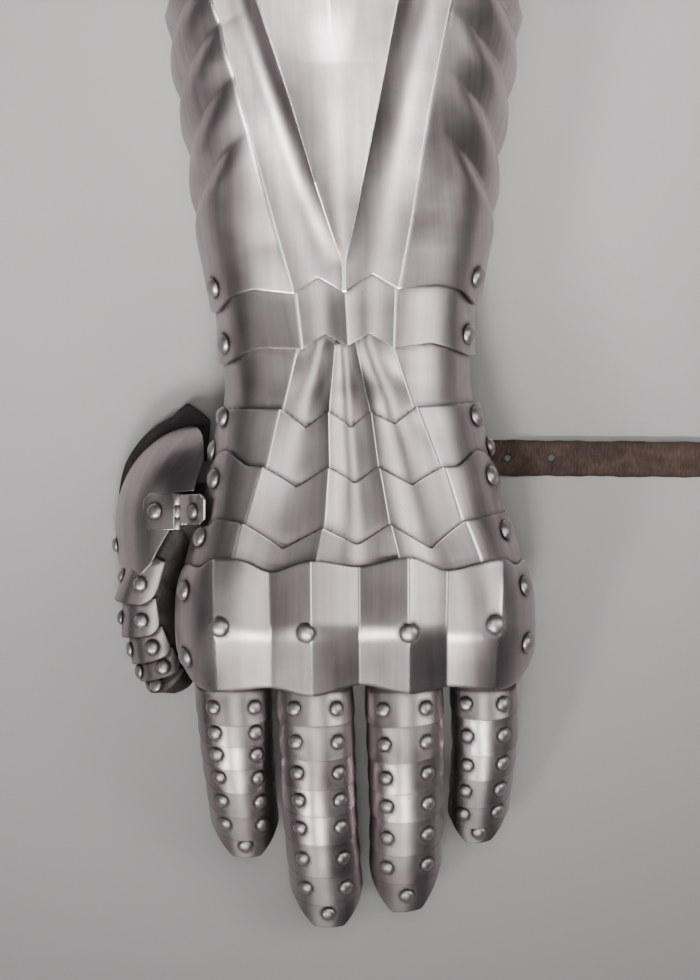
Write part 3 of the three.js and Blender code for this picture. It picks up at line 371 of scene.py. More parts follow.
form = {
    "power": 2.4, "sideTuck": 0.12,
    "centre": [(-60, 1.3), (-32, 1.0), (0, -0.8), (26, -1.7), (100, -2)],
    "half": [(-70, 56.5), (-60, 54.3), (-47, 49.5), (-32, 45.7), (-16, 42.3), (-4, 39.6), (10, 39.8), (26, 41.8),
             (38, 44.3), (50, 47), (72, 50), (98, 54.5), (130, 58), (165, 60)],
    "crown": [(-72, 62.3), (-47, 61), (-32, 59.5), (-16, 57.5), (0, 56.5), (26, 58), (50, 63), (100, 80), (165, 98)],
    "spring": [(-60, 28), (0, 28), (26, 29), (50, 31), (98, 36), (165, 44)],
}
knuckleForm = {
    "power": 2.8, "sideTuck": 0.12,
    "centre": [(-100, 2.0), (-56, 1.4)],
    "half": [(-103, 54), (-97, 55.5), (-88, 57.6), (-80, 58.2), (-68, 57.8), (-56, 55)],
    "crown": [(-103, 53), (-80.5, 66), (-56, 66)],
    "spring": [(-100, 25), (-56, 28)],
}


def formPoint(shape, y, angle, lift):
    # a superellipse across the arm at y: x = centre +- (half + lift) sin^(2/power) and
    # z = spring + (crown - spring + lift) cos^(2/power); past 90 the angle counts mm down a side wall that leans in
    bend = np.radians(np.minimum(np.abs(angle), 90))
    below = np.maximum(np.abs(angle) - 90, 0)
    spring = soft(shape["spring"], y, 4)
    crown = soft(shape["crown"], y, 2.5 + 14 * smooth(y, 30, 56) + 0.9 * smooth(-y, 62, 76))
    out = (soft(shape["half"], y, 4) + lift) * np.sin(bend) ** (2 / shape["power"]) - shape["sideTuck"] * below
    up = (crown - spring + lift) * np.maximum(np.cos(bend), 0) ** (2 / shape["power"])
    return np.stack(np.broadcast_arrays(soft(shape["centre"], y, 4) + np.sign(angle) * out, y, spring + up - below), -1)


def angleAt(shape, y, x):
    # the angle at which that section has the plan position x
    centre = soft(shape["centre"], y, 4)
    share = np.clip(np.abs(x - centre) / soft(shape["half"], y, 4), 0, 1)
    return np.sign(x - centre) * np.degrees(np.arcsin(share ** (shape["power"] / 2)))


def plateAngle(plate, y, count):
    # count 0 is the thumb-side edge, 1 the first ridge, 1.5 the hollow after it, and so on to the other edge
    lines = [soft(line, y, 2) for line in plate["ridges"]]
    edge = 90 + plate["drop"](y)
    x = lines[0] + 0 * count
    for k in range(1, len(lines)):
        x = x + (lines[k] - lines[k - 1]) * np.clip(count - k, 0, 1)
    first = angleAt(plate["form"], y, lines[0])
    last = angleAt(plate["form"], y, lines[-1])
    angle = np.where(count < 1, -edge + (first + edge) * count, angleAt(plate["form"], y, x))
    return np.where(count > len(lines), last + (edge - last) * (count - len(lines)), angle)


def roundHollow(t):
    # a parabola from 0 at each ridge to 1 half way
    return 1 - (2 * t - 1) ** 2


def sharpHollow(t):
    # two straight slopes from 0 at each ridge to 1 half way
    return 1 - np.abs(2 * t - 1)


def plateLift(plate, y, count, angle):
    # the overlap's own lift, less the hollow between two ridges, and with the relief of a plate that has one
    lift = soft(plate["lift"], y, plate["liftReach"]) + 0 * count
    for k, depth in enumerate(plate["depth"], start=1):
        t = np.clip(count - k, 0, 1)
        lift = lift - chain(depth, y) * plate["hollow"](t) * ((count > k) & (count < k + 1))
    return lift + plate["relief"](y, angle, count) if "relief" in plate else lift


def platePoint(plate, y, count):
    # the form's point at y and a ridge count, with the plate's own lift
    angle = plateAngle(plate, y, count)
    return formPoint(plate["form"], y, angle, plateLift(plate, y, count, angle))


def shareOut(steps, corners):
    # even steps from 0 to the last corner, with one exactly on each corner
    return np.unique(np.round(np.concatenate([np.linspace(a, b, max(int((b - a) * steps), 1) + 1)
                                              for a, b in zip(corners[:-1], corners[1:])]), 6))


handRidges = [
    [(-70, -39.5), (-58, -37), (-46, -33.5), (-28, -26.8), (-9.5, -21.3), (13, -15.5), (22, -15)],
    [(-70, -12), (-58, -10.6), (-46, -8), (-28, -6.5), (-9.5, -6.6), (13, -4.8), (22, -3.6)],
    [(-70, 17.5), (-58, 15.7), (-46, 12.5), (-28, 9), (-9.5, 6.3), (13, 1.6), (22, 0.6)],
    [(-70, 45), (-58, 41.6), (-46, 36), (-28, 29), (-9.5, 20.5), (13, 12.5), (22, 12)],
]
wristRidges = [
    [(5, -13.6), (28.8, -17.3), (42, -21.5)],
    [(5, -0.4), (28.8, -1.6), (42, -1.9)],
    [(5, 13), (28.8, 14.6), (42, 16.8)],
]
cuffRidges = [
    [(20, -16.4), (28.8, -17.3), (64.6, -28.2), (83, -33.3), (121.6, -44), (165, -50)],
    [(20, -2.1), (37.8, -2.5), (64.6, -11.8), (90.6, -19.8), (121.6, -30.5), (165, -38)],
    [(20, -1.1), (37.8, -1.3), (55.7, 2.6), (86.7, 9), (121.6, 15.7), (165, 21)],
    [(20, 14.2), (28.8, 14.6), (54.1, 19.8), (86.7, 25.3), (121.6, 32.6), (165, 38)],
]

layerStep = 2.0
hiddenDrop = -2.0
handDepth = [[(-70, 3.8), (-46, 3.5), (-28, 3.1), (-9, 2.7)]] * 3
lame = {"form": form, "hollow": roundHollow, "drop": lambda y: 9.0 + 0 * y, "thickness": 1.2, "liftReach": 3.0,
        "edgeReach": 0.03}


def wristRelief(y, angle, count):
    # the middle of the second wrist lame sinks by up to 1.7 mm towards the cuff, whatever the angle
    return -1.7 * smooth(y, -8, 8) * np.clip(1.2 - 0.8 * np.abs(count - 2.5), 0, 1)


plates = {
    "wrist_lame_1": {
        **lame,
        "ridges": wristRidges,
        "depth": [[(8, 1.5), (42, 1.8)]] * 2,
        "lift": [(6, layerStep), (27, 0), (41, hiddenDrop)],
        "wristEdge": [(0, 33), (0.15, 38), (0.5, 41), (3.5, 42), (3.85, 40), (4, 35)],
        "fingerEdge": [(0, 11), (0.15, 6), (0.38, 4.8), (0.6, 8.8), (0.76, 10.1), (1, 9.6), (1.5, 14.6), (2, 10.6),
                       (2.5, 14.7), (3, 10.1), (3.24, 11.8), (3.4, 10.2), (3.62, 8), (3.85, 8.5), (4, 13)],
    },
    "wrist_lame_2": {
        **lame,
        "ridges": handRidges,
        "depth": [[(-9, 2.7), (12, 1.8)], [(-9, 2.7), (12, 0.8)], [(-9, 2.7), (12, 1.8)]],
        "lift": [(-21, hiddenDrop), (-9, 0), (9, 0), (22, hiddenDrop)],
        "relief": wristRelief,
        "wristEdge": [(0, 14), (0.15, 19), (0.5, 22), (4.5, 23), (4.85, 20), (5, 15)],
        "fingerEdge": [(0, -13), (0.15, -16.5), (0.4, -17.6), (0.6, -22), (4.4, -22), (4.6, -17.6), (4.85, -16.5),
                       (5, -13)],
    },
    "hand_lame_1": {
        **lame,
        "ridges": handRidges,
        "depth": handDepth,
        "lift": [(-41, hiddenDrop), (-30, 0), (-9, layerStep), (-5, layerStep)],
        "wristEdge": [(0, -16), (0.12, -9.5), (1, -9.3), (1.5, -15.4), (2, -9.9), (2.5, -15.4), (3, -9.9), (3.5, -14.4),
                      (4, -8.5), (4.88, -6.5), (5, -14)],
        "fingerEdge": [(0, -33), (0.12, -37), (0.6, -41), (4.4, -41), (4.88, -37), (5, -33)],
    },
    "hand_lame_2": {
        **lame,
        "ridges": handRidges,
        "depth": handDepth,
        "drop": lambda y: 4.0 + 0 * y,
        "lift": [(-60, hiddenDrop), (-48, 0), (-28, layerStep), (-22, layerStep)],
        "wristEdge": [(0, -34), (0.15, -30), (0.35, -26.5), (0.45, -23.4), (0.585, -22.4), (0.85, -27.5), (1, -27.8),
                      (1.5, -34.4), (2, -27.8), (2.5, -33.1), (3, -27.5), (3.5, -33.8), (4, -27.6), (4.15, -27.4),
                      (4.415, -22.4), (4.55, -23), (4.65, -25.5), (4.85, -29), (5, -33)],
        "fingerEdge": [(0, -51), (0.12, -55), (0.6, -60), (4.4, -60), (4.88, -54.5), (5, -50)],
    },
    "hand_lame_3": {
        **lame,
        "ridges": handRidges,
        "depth": handDepth,
        "drop": lambda y: 4.0 + 0 * y,
        "lift": [(-71, hiddenDrop), (-60, 0.6), (-46, layerStep), (-42, layerStep)],
        "wristEdge": [(0, -53), (0.2, -49.4), (0.35, -47.6), (0.6, -46.8), (0.71, -44.5), (1, -45.6), (1.5, -54.1),
                      (2, -47.4), (2.5, -52.8), (3, -45.8), (3.5, -54.1), (4, -44.8), (4.6, -42.2), (4.85, -42.5),
                      (5, -49)],
        "fingerEdge": [(0, -67), (0.15, -71.5), (0.6, -71), (4.4, -71), (4.85, -70.5), (5, -66)],
    },
    "knuckle_plate": {
        **lame,
        "form": knuckleForm,
        "hollow": sharpHollow,
        "drop": lambda y: 1.5 + 0 * y,
        "ridges": [[(-100, -42.6), (-57, -43.7)], [(-100, -12.2), (-57, -12.6)], [(-100, 18.9), (-57, 18.8)],
                   [(-100, 46.7), (-57, 49.2)]],
        "depth": [[(-100, 3.6), (-80, 4.8)], [(-100, 4), (-80, 5)], [(-100, 3.6), (-80, 4.8)]],
        "lift": [(-100, 0), (-57, 0)],
        "edgeReach": 0.14,
        "wristEdge": [(0, -71), (0.12, -64.5), (0.3, -59.2), (0.61, -58.6), (0.74, -61.4), (0.95, -57), (1.25, -57),
                      (1.5, -62.4), (2, -57.3), (2.5, -60), (3, -56), (3.5, -61.5), (4, -56.5), (4.3, -59.8),
                      (4.6, -56.3), (4.85, -62), (5, -70)],
        "fingerEdge": [(0, -83), (0.3, -90.5), (0.55, -97), (0.8, -99.5), (1, -100.2), (1.5, -98.2), (2, -101.8),
                       (2.5, -97), (3, -100.8), (3.5, -97.9), (4, -99.5), (4.3, -98), (4.6, -93), (4.8, -87.7),
                       (5, -83)],
    },
}

elbow = {"y": 98, "halfWidth": 59, "length": 65}
lobe = {"pitch": 18.5, "first": 94.8, "slope": 0.48, "height": 2.5}


def cuffRelief(y, angle, count):
    # slanting lobes on the sides, |sin| of a phase that rises with y and with the way round, level below the first
    # crease and faded out towards the back of the hand, and a low keel on top at the elbow
    around = np.abs(angle)
    phase = (y + lobe["slope"] * around - lobe["first"]) / lobe["pitch"]
    petal = np.abs(np.sin(np.pi * np.maximum(phase, -0.5)))
    fade = smooth(around, 30, 62) * smooth(y, 34, 60)
    keel = 2 * smooth(y, 98, 135) * np.clip(1 - np.abs(count - 2.5) / 0.2, 0, 1)
    return fade * lobe["height"] * (petal - 0.65) + keel


plates["cuff"] = {
    **lame,
    "ridges": cuffRidges,
    "drop": lambda y: chain([(24, 13), (50, 22), (98, 35.5), (165, 38)], y),
    "depth": [[(28, 1.8), (60, 2.4), (120, 3.4)], [(40, 0), (60, 1.2), (100, 3.4), (165, 4)],
              [(28, 1.8), (60, 2.4), (120, 3.4)]],
    "lift": [(24, layerStep), (36, layerStep), (66, 0)],
    "liftReach": 10.0,
    "relief": cuffRelief,
    "fingerEdge": [(0, 30), (0.2, 22), (0.365, 21.3), (0.567, 26.4), (0.78, 28.8), (1, 27.2), (1.5, 32.6), (2, 27.8),
                   (3, 27.8), (3.5, 33.6), (4, 28.8), (4.22, 30.1), (4.43, 28.6), (4.63, 24.3), (4.8, 24), (5, 31)],
}


def elbowEdge(count):
    # y at which each count meets half an ellipse in plan, found by going half the way again and again
    y = elbow["y"] + 0 * count
    for _ in range(24):
        x = formPoint(form, y, plateAngle(plates["cuff"], y, count), 0)[..., 0]
        share = np.clip((x - soft(form["centre"], y, 4)) / elbow["halfWidth"], -1, 1)
        level = np.clip(6 * np.minimum(count, 5 - count), 0, 1)
        y = 0.5 * y + 0.5 * (elbow["y"] + level * elbow["length"] * np.sqrt(1 - share ** 2))
    return y


plateRivet = {"radius": 3.2, "height": 2.2, "sides": 32, "gap": 0.16}
lameRivet = {"radius": 2.4, "height": 1.6, "sides": 28, "gap": 0.14}


def domeProfile(size, depth, tail=0.0):
    # a round head on an undercut seat, then a shank of that depth and, where two plates turn on it, a flat burr inside
    radius, height, gap = size["radius"], size["height"], size["gap"]
    turn = np.radians(np.linspace(0, 90, 9)[1:])
    head = [(0, height)] + list(zip(radius * np.sin(turn), gap + (height - gap) * np.cos(turn) ** 0.9))
    head += [(0.97 * radius, 0.4 * gap), (0.86 * radius, 0.05), (0.8 * radius, -0.5)]
    if tail > 0:
        return head + [(1.5, -0.7), (1.5, -depth), (tail, -depth), (0.94 * tail, -depth - 0.7), (0, -depth - 0.9)]
    return head + [(0, -depth)]


def sidePlace(plate, y, side, angle=68.0):
    # seat and outward direction of a side rivet; side is -1 on the thumb side
    lift = soft(plate["lift"], y, plate["liftReach"])
    at = lambda dy, da: formPoint(plate["form"], np.float64(y + dy), np.float64(side * (angle + da)), lift)
    normal = unit(np.cross(at(0, 1) - at(0, -1), at(1, 0) - at(-1, 0)))
    return at(0, 0), normal * np.sign(normal[2])


def topPlace(plate, y, count):
    # seat and outward direction of a rivet on top, at a ridge count
    at = lambda dy, dc: platePoint(plate, np.float64(y + dy), np.float64(count + dc))
    return at(0, 0), unit(np.cross(at(-1, 0) - at(1, 0), at(0, 0.04) - at(0, -0.04)))


# For each plate: side rivets as y on the thumb side, y on the other side, angle from the crown and depth of the shank.
# A pivot that two plates turn on has a burr inside.
sideRivets = {
    "cuff": [(29.7, 33.1, 68, 4.9, True)],
    "wrist_lame_1": [(11.7, 14.8, 68, 4.4, True)],
    "wrist_lame_2": [],
    "hand_lame_1": [(-11.8, -11.4, 68, 4.4, True), (-22.4, -21.2, 84, 0.9, False)],
    "hand_lame_2": [(-31.6, -30.5, 68, 4.4, True)],
    "hand_lame_3": [(-50.3, -48.1, 68, 4.4, True)],
    "knuckle_plate": [(-67.4, -65.8, 68, 7.3, True), (-88.7, -83.9, 68, 0.9, False)],
}
knuckleHeads = [(-78.9, 1.04), (-80.7, 1.94), (-80.7, 3.0), (-78, 3.96)]


def rivetSeats(name):
    # every rivet of a plate as seat, direction, shank depth and whether it is a pivot
    plate = plates[name]
    found = []
    for thumbY, outerY, angle, depth, turns in sideRivets[name]:
        found += [(*sidePlace(plate, y, side, angle), depth, turns) for y, side in ((thumbY, -1), (outerY, 1))]
    if name == "knuckle_plate":
        found += [(*topPlace(plate, y, count), 0.9, False) for y, count in knuckleHeads]
    return found


def makeRivets(name, seats, size, body):
    # all the heads of one plate as one piece; the profile is turned once for each kind of shank
    points, faces, heights = [], [], []
    start = 0
    for depth, turns in sorted({(seat[2], seat[3]) for seat in seats}):
        kind = [seat for seat in seats if seat[2:] == (depth, turns)]
        profile = domeProfile(size, depth, 2.8 if turns else 0.0)
        places, directions = (np.array([seat[k] for seat in kind]) for k in (0, 1))
        some, their, high = turned(profile, size["sides"], places, directions)
        points.append(some)
        faces += [[corner + start for corner in face] for face in their]
        heights.append(high)
        start += len(some)
    points, heights = np.concatenate(points), np.concatenate(heights)
    # painted shade on the lowest half millimetre of each head, where it meets the plate
    waxAndShade = np.clip(1 - (heights - 0.05) / 0.5, 0, 1) ** 1.5
    uv = np.stack([points[:, 0], points[:, 1]], -1)
    piece = makePiece(name, points, faces, rivetSteel, uv, {"waxAndShade": waxAndShade, "edge": 0 * waxAndShade})
    return settle(piece, body, "steel")


def ringShadeAndWax(points, seats, radius):
    # painted contact shade and dark wax in a ring round each head, fading over half a millimetre
    waxAndShade = np.zeros(len(points))
    for seat in seats:
        away = np.linalg.norm(points - seat[0], axis=-1) - radius
        waxAndShade = np.maximum(waxAndShade, np.exp(-np.clip(away - 0.15, 0, None) / 0.45))
    return waxAndShade


# A small patch of old varnish where the cuff's middle hollow begins.
varnish = {"place": (-3.6, 43.0), "size": (1.6, 5.0), "strength": 0.6}


# The edge that covers each plate, as the covering plate and which of its edges.
coveredBy = {
    "wrist_lame_1": ("cuff", "fingerEdge"), "wrist_lame_2": ("hand_lame_1", "wristEdge"),
    "hand_lame_1": ("hand_lame_2", "wristEdge"), "hand_lame_2": ("hand_lame_3", "wristEdge"),
    "hand_lame_3": ("knuckle_plate", "wristEdge"),
}


def edgeLine(name, which, count):
    # y of one edge of a plate over its counts, with its corners rounded
    plate = plates[name]
    if which == "wristEdge" and which not in plate:
        return elbowEdge(count)
    return soft(plate[which], count, plate["edgeReach"])


def coverShade(points, covers):
    # painted shadow along the line where a covering edge lies: exp(-distance along the arm / 0.55 mm)
    waxAndShade = np.zeros(len(points))
    for name, which in covers:
        count = np.linspace(0.3, len(plates[name]["ridges"]) + 0.7, 400)
        line = platePoint(plates[name], edgeLine(name, which, count), count)
        order = np.argsort(line[:, 0])
        y = np.interp(points[:, 0], line[order, 0], line[order, 1], left=1e3, right=1e3)
        waxAndShade = np.maximum(waxAndShade, 0.8 * np.exp(-np.abs(points[:, 1] - y) / 0.55))
    return waxAndShade


def makePlate(name, rows, steps):
    # the plate's form on a grid, rows along the arm and columns by ridge count, with slow dents of the hammer
    plate = plates[name]
    ridgeCount = len(plate["ridges"])
    corners = np.unique([0, ridgeCount + 1] + [c for c, _ in plate["fingerEdge"]]
                        + [c for c, _ in plate.get("wristEdge", [])] + list(range(1, ridgeCount + 1)))
    count = shareOut(steps, corners)
    finger, wrist = edgeLine(name, "fingerEdge", count), edgeLine(name, "wristEdge", count)
    v = np.linspace(0, 1, rows)[:, None]
    y = wrist + (finger - wrist) * v
    grid = platePoint(plate, y, np.broadcast_to(count, y.shape))
    points = grid.reshape(-1, 3)
    dents = 0.07 * ripple(points, 44, 3) + 0.012 * ripple(points, 13, 5)
    points = points + dents[:, None] * vec(0, 0, 1) * smooth(points[:, 2], 26, 40)[:, None]
    seats = rivetSeats(name)
    length = np.abs(wrist - finger)
    rim = 0.15 * np.maximum(np.exp(-v * length / 0.4), np.exp(-(1 - v) * length / 0.4))
    lengths = arcLengths(grid)
    across = lengths[:, 0].reshape(y.shape)
    # the edge mark paints a highlight along each ridge; near the free ends it stands for wear
    for k in range(1, ridgeCount + 1):
        away = np.abs(across - across[:, np.argmin(np.abs(count - k))][:, None])
        rim = np.maximum(rim, 0.9 * np.exp(-(away / 0.55) ** 2))
    covers = [coveredBy[name]] if name in coveredBy else []
    if name == "wrist_lame_2":
        covers.append(("wrist_lame_1", "fingerEdge"))
    # painted shade with dark wax round the rivet heads, and painted shadow under the covering edges
    waxAndShade = np.maximum(ringShadeAndWax(points, seats, plateRivet["radius"]), coverShade(points, covers))
    marks = {"waxAndShade": waxAndShade, "edge": rim.ravel()}
    if name == "cuff":
        away = np.linalg.norm((points[:, :2] - varnish["place"]) / varnish["size"], axis=-1)
        marks["stain"] = varnish["strength"] * smooth(1 - away + 0.3 * ripple(points, 5, 9), 0.1, 0.8)
    piece = makePiece(name + "_plate", points, gridFaces(*y.shape).tolist(), plateSteel, lengths, marks)
    thicken(piece, plate["thickness"])
    settle(piece, bodyOf[name], "steel", name)
    if seats:
        makeRivets(name + "_rivets", seats, plateRivet, bodyOf[name])


for plateName in sideRivets:
    makePlate(plateName, 150 if plateName == "cuff" else 36, 44)
print("plates made")


band = {
    "thickness": 1.0, "corner": 0.62,       # where the rounded corners start, as a share of half the width
    "root": -98, "lap": 2.8,                # y where the fingers start, and how far a lame runs under the one before
    "lift": 2.45, "sideLift": 0.36,         # how far a free end stands off, and its sides' share of that
    "rise": 9.0, "wrap": 78.0, "skew": 1.6,
    "rivets": [(0.6, -0.41), (0.6, 0.41)],  # share along and place across, from -1 to 1
    "tipRivet": [(0.55, 0.0)],
}

fingers = {
    "index": {"edges": [-110.1, -116.8, -124.2, -131.8, -139.8, -147.2], "tip": -152.6,
              "line": [(-152, -33.4), (-124, -36.2), (-98, -37.6)], "top": (45.5, 12.5), "droop": 1.5,
              "half": (12.3, 10.6), "turn": 0},
    "middle": {"edges": [-110.4, -121.3, -130.6, -139.2, -148.5, -159.2, -168.3], "tip": -175.3,
               "line": [(-175, -6.6), (-150, -9.2), (-98, -11.4)], "top": (50, 12.7), "droop": 1.7,
               "half": (12.4, 11.4), "turn": 1},
    "ring": {"edges": [-110.6, -121.9, -131.8, -141.1, -152, -161.3], "tip": -170.2,
             "line": [(-170, 18.2), (-140, 18.6), (-98, 17.2)], "top": (50, 12.7), "droop": 1.7,
             "half": (12.6, 11.4), "turn": 6},
    "little": {"edges": [-108.2, -119.7, -127.7, -136.6, -143.2], "tip": -147.8,
               "line": [(-147, 41.4), (-120, 43.8), (-98, 42.8)], "top": (43.5, 12.4), "droop": 1.5,
               "half": (11, 9.6), "turn": 4},
}


def squareEnd(u):
    # how much of a lame's length is left at u, from -1 to 1 across: a quarter of an ellipse at each corner
    t = np.clip((np.abs(u) - band["corner"]) / (1 - band["corner"]), 0, 1)
    return 1 - 0.42 * (1 - np.sqrt(1 - t ** 2))


def pointedEnd(u):
    # the same for a fingertip: straight cuts from 0.3 of the half width down to 0.15 of the length at the sides
    return 1 - 0.85 * np.clip((np.abs(u) - 0.3) / 0.7, 0, 1)


def bandPoint(start, finish, v, u, end):
    # an arc across, whose place, axes, size and height all run in straight lines from start to finish; the free end
    # stands off by its lift on top and by a part of it at the sides
    share = v * end(u)
    blend = lambda key: start[key] + (finish[key] - start[key]) * share[..., None]
    number = lambda key: start[key] + (finish[key] - start[key]) * share
    lift = finish["lift"] * share
    bend = np.radians(number("wrap") * u)
    return (blend("point") + blend("across") * ((number("half") + band["sideLift"] * lift) * np.sin(bend))[..., None]
            + blend("up") * ((number("rise") + lift) * np.cos(bend) - number("rise"))[..., None])


def bandSeats(start, finish, spots, end):
    # seat and outward direction of each rivet of a lame, from its share along and its place across
    at = lambda v, u: bandPoint(start, finish, np.float64(v), np.float64(u), end)
    return [(at(v, u), unit(np.cross(at(v + 0.05, u) - at(v - 0.05, u), at(v, u + 0.05) - at(v, u - 0.05))), 1.4, False)
            for v, u in spots]


def makeLame(node, start, finish, spots, end=squareEnd):
    # one lame on a grid, with closer rows where the one before covers it and at its free end, painted shade along both
    # and painted shade with dark wax round its rivets, and slow dents; gives the seats of its rivets
    length = np.linalg.norm(finish["point"] - start["point"])
    close = [band["lap"] + step for step in (-0.4, 0, 0.4, 0.9, 1.5)] + [length - 0.5, length - 0.15]
    u = np.linspace(-1, 1, 49)
    v = np.unique(np.concatenate([np.linspace(0, 1, 12), np.clip(np.array(close) / length, 0, 1)]))[:, None]
    grid = bandPoint(start, finish, *np.broadcast_arrays(v, u), end)
    points = grid.reshape(-1, 3)
    seats = bandSeats(start, finish, spots, end)
    sides = 0.2 * np.exp(-(1 - np.abs(u)) * start["half"] / 0.45) + 0 * v
    # painted shadow under the covering lame's edge, and a painted dark line along this lame's own free end
    fromCover = v * length - band["lap"] + (1 - squareEnd(u)) * length
    shade = np.maximum(0.95 * np.exp(-np.clip(fromCover, 0, None) / 0.75), 0.8 * np.exp(-(1 - v) * length / 0.15))
    seed = len(node) + int(abs(points[0, 1]))
    points = points + 0.05 * ripple(points, 9, seed)[:, None] * start["up"]
    piece = makePiece(node + "_steel", points, gridFaces(*grid.shape[:2]).tolist(), lameSteel, arcLengths(grid),
                      {"waxAndShade": np.maximum(ringShadeAndWax(points, seats, lameRivet["radius"]), shade.ravel()),
                       "edge": sides.ravel()})
    thicken(piece, band["thickness"], 0.14)
    settle(piece, bodyOf[node], "steel", node)
    return seats


def fingerPlace(finger, y):
    # the place on top of a finger at y, with the axes of the lames there
    share = lambda t, most: np.clip((band["root"] - t) / (band["root"] - finger["tip"]), 0, most)
    high, low = finger["top"]
    topAt = lambda t: vec(soft(finger["line"], t, 4), t, high + (low - high) * share(t, 1.1) ** finger["droop"])
    along = unit(topAt(y - 1) - topAt(y + 1))
    turn = np.radians(finger["turn"] * smooth(-y, 104, 120))
    across = vec(np.cos(turn), np.sin(turn), 0)
    up = unit(np.cross(across, along))
    wide, narrow = finger["half"]
    return {"point": topAt(y), "across": across, "up": up if up[2] > 0 else -up,
            "half": wide + (narrow - wide) * share(y, 1), "rise": band["rise"], "wrap": band["wrap"],
            "lift": band["lift"]}


def swung(place, degrees):
    # the same place with its axes turned about its own upward axis
    turn = np.radians(degrees)
    along = np.cross(place["up"], place["across"])
    return {**place, "across": place["across"] * np.cos(turn) + along * np.sin(turn)}


def makeFinger(name, finger):
    # lames one after another from the root to the tip, each hung a little askew by up to the band's skew in degrees
    starts = [band["root"] + 1] + [y + band["lap"] for y in finger["edges"]]
    skew = np.random.default_rng(len(name)).uniform(-band["skew"], band["skew"], len(finger["edges"]))
    seats = []
    for k, edge in enumerate(finger["edges"]):
        seats += makeLame(f"{name}_lame_{k + 1}", swung(fingerPlace(finger, starts[k]), skew[k]),
                          swung(fingerPlace(finger, edge), skew[k]), band["rivets"])
    seats += makeLame(name + "_tip", fingerPlace(finger, starts[-1] - 1), fingerPlace(finger, finger["tip"]),
                      band["tipRivet"], pointedEnd)
    makeRivets(name + "_rivets", seats, lameRivet, "hand")


thumbLine = {
    "y": (-42, -52, -62, -72, -82, -91, -98),
    "x": (-52, -58.6, -63.2, -63.6, -61.8, -58.8, -56.6),
    "z": (17.2, 17, 14.8, 12.8, 11, 9.6, 8.6),
    "lean": (50, 55, 58, 56, 48, 36, 30),
    "radius": (8.6, 8.8, 8.6, 8.4, 8, 7.4, 6.8),
}
thumb = {"edges": [-70, -79.6, -87.4, -93.4], "start": -56, "tip": -99.6, "lift": 3.5, "wrap": 62.0,
         "rivets": [(0.6, -0.5), (0.6, 0.5)]}


def thumbValue(key, y):
    return soft(list(zip(thumbLine["y"], thumbLine[key]))[::-1], y, 3)


def thumbPlace(y):
    # the place on the outside of the thumb at y; its lames lean over by the line's own angle
    centre = lambda t: vec(thumbValue("x", t), t, thumbValue("z", t))
    along = unit(centre(y - 1) - centre(y + 1))
    lean = np.radians(thumbValue("lean", y))
    across = unit(np.cross(vec(-np.sin(lean), 0, np.cos(lean)), along))
    up = unit(np.cross(along, across))
    reach = thumbValue("radius", y) + band["thickness"] + 0.4
    return {"point": centre(y) + up * reach, "across": across, "up": up, "half": reach, "rise": reach,
            "wrap": thumb["wrap"], "lift": thumb["lift"], "centre": centre(y)}


def makeThumbLames():
    # lames one after another on the outside of the thumb, with 0.6 of the fingers' lap and none askew
    starts = [thumb["start"]] + [y + 0.6 * band["lap"] for y in thumb["edges"]]
    seats = []
    for k, edge in enumerate(thumb["edges"]):
        seats += makeLame(f"thumb_lame_{k + 1}", thumbPlace(starts[k]), thumbPlace(edge), thumb["rivets"])
    seats += makeLame("thumb_tip", thumbPlace(starts[-1] - 1.2), thumbPlace(thumb["tip"]), band["tipRivet"],
                      pointedEnd)
    makeRivets("thumb_rivets", seats, lameRivet, "thumb")


for fingerName, fingerShape in fingers.items():
    makeFinger(fingerName, fingerShape)
makeThumbLames()
print("lames made")


shell = {
    "centre": vec(-47.5, -46, 8), "reach": vec(28.5, 32, 27), "tail": 50,
    "top": [(-1, -20.5), (0, -18.6), (1, -17.4), (5.2, -16.1), (15.4, -14.9), (46, -14.4), (92, -14.4)],
    "foot": [(-1, -25), (3, -30.5), (6, -35.4), (19.6, -36), (22.4, -48.6), (37, -58.8), (52, -63.4), (80, -59.4),
             (92, -57)],
    "rivet": (84, -53),
}


def shellPoint(bend, y, lift):
    # an ellipsoid with a longer tail: bend is degrees from its top line towards the outside, y the plan position
    reach = np.where(y > shell["centre"][1], shell["reach"][1], shell["tail"])
    slope = np.clip((y - shell["centre"][1]) / reach, -1, 1)
    level = np.sqrt(1 - slope ** 2)
    angle = np.radians(bend)
    return np.stack(np.broadcast_arrays(
        shell["centre"][0] - (shell["reach"][0] + lift) * level * np.sin(angle),
        shell["centre"][1] + (reach + lift) * slope,
        shell["centre"][2] + (shell["reach"][2] + lift) * level * np.cos(angle)), -1)


def shellPlace(bend, y, lift=0.0):
    # seat and outward direction of a rivet on the shell
    at = lambda db, dy: shellPoint(np.float64(bend + db), np.float64(y + dy), lift)
    return at(0, 0), unit(np.cross(at(0, -0.5) - at(0, 0.5), at(-1, 0) - at(1, 0)))


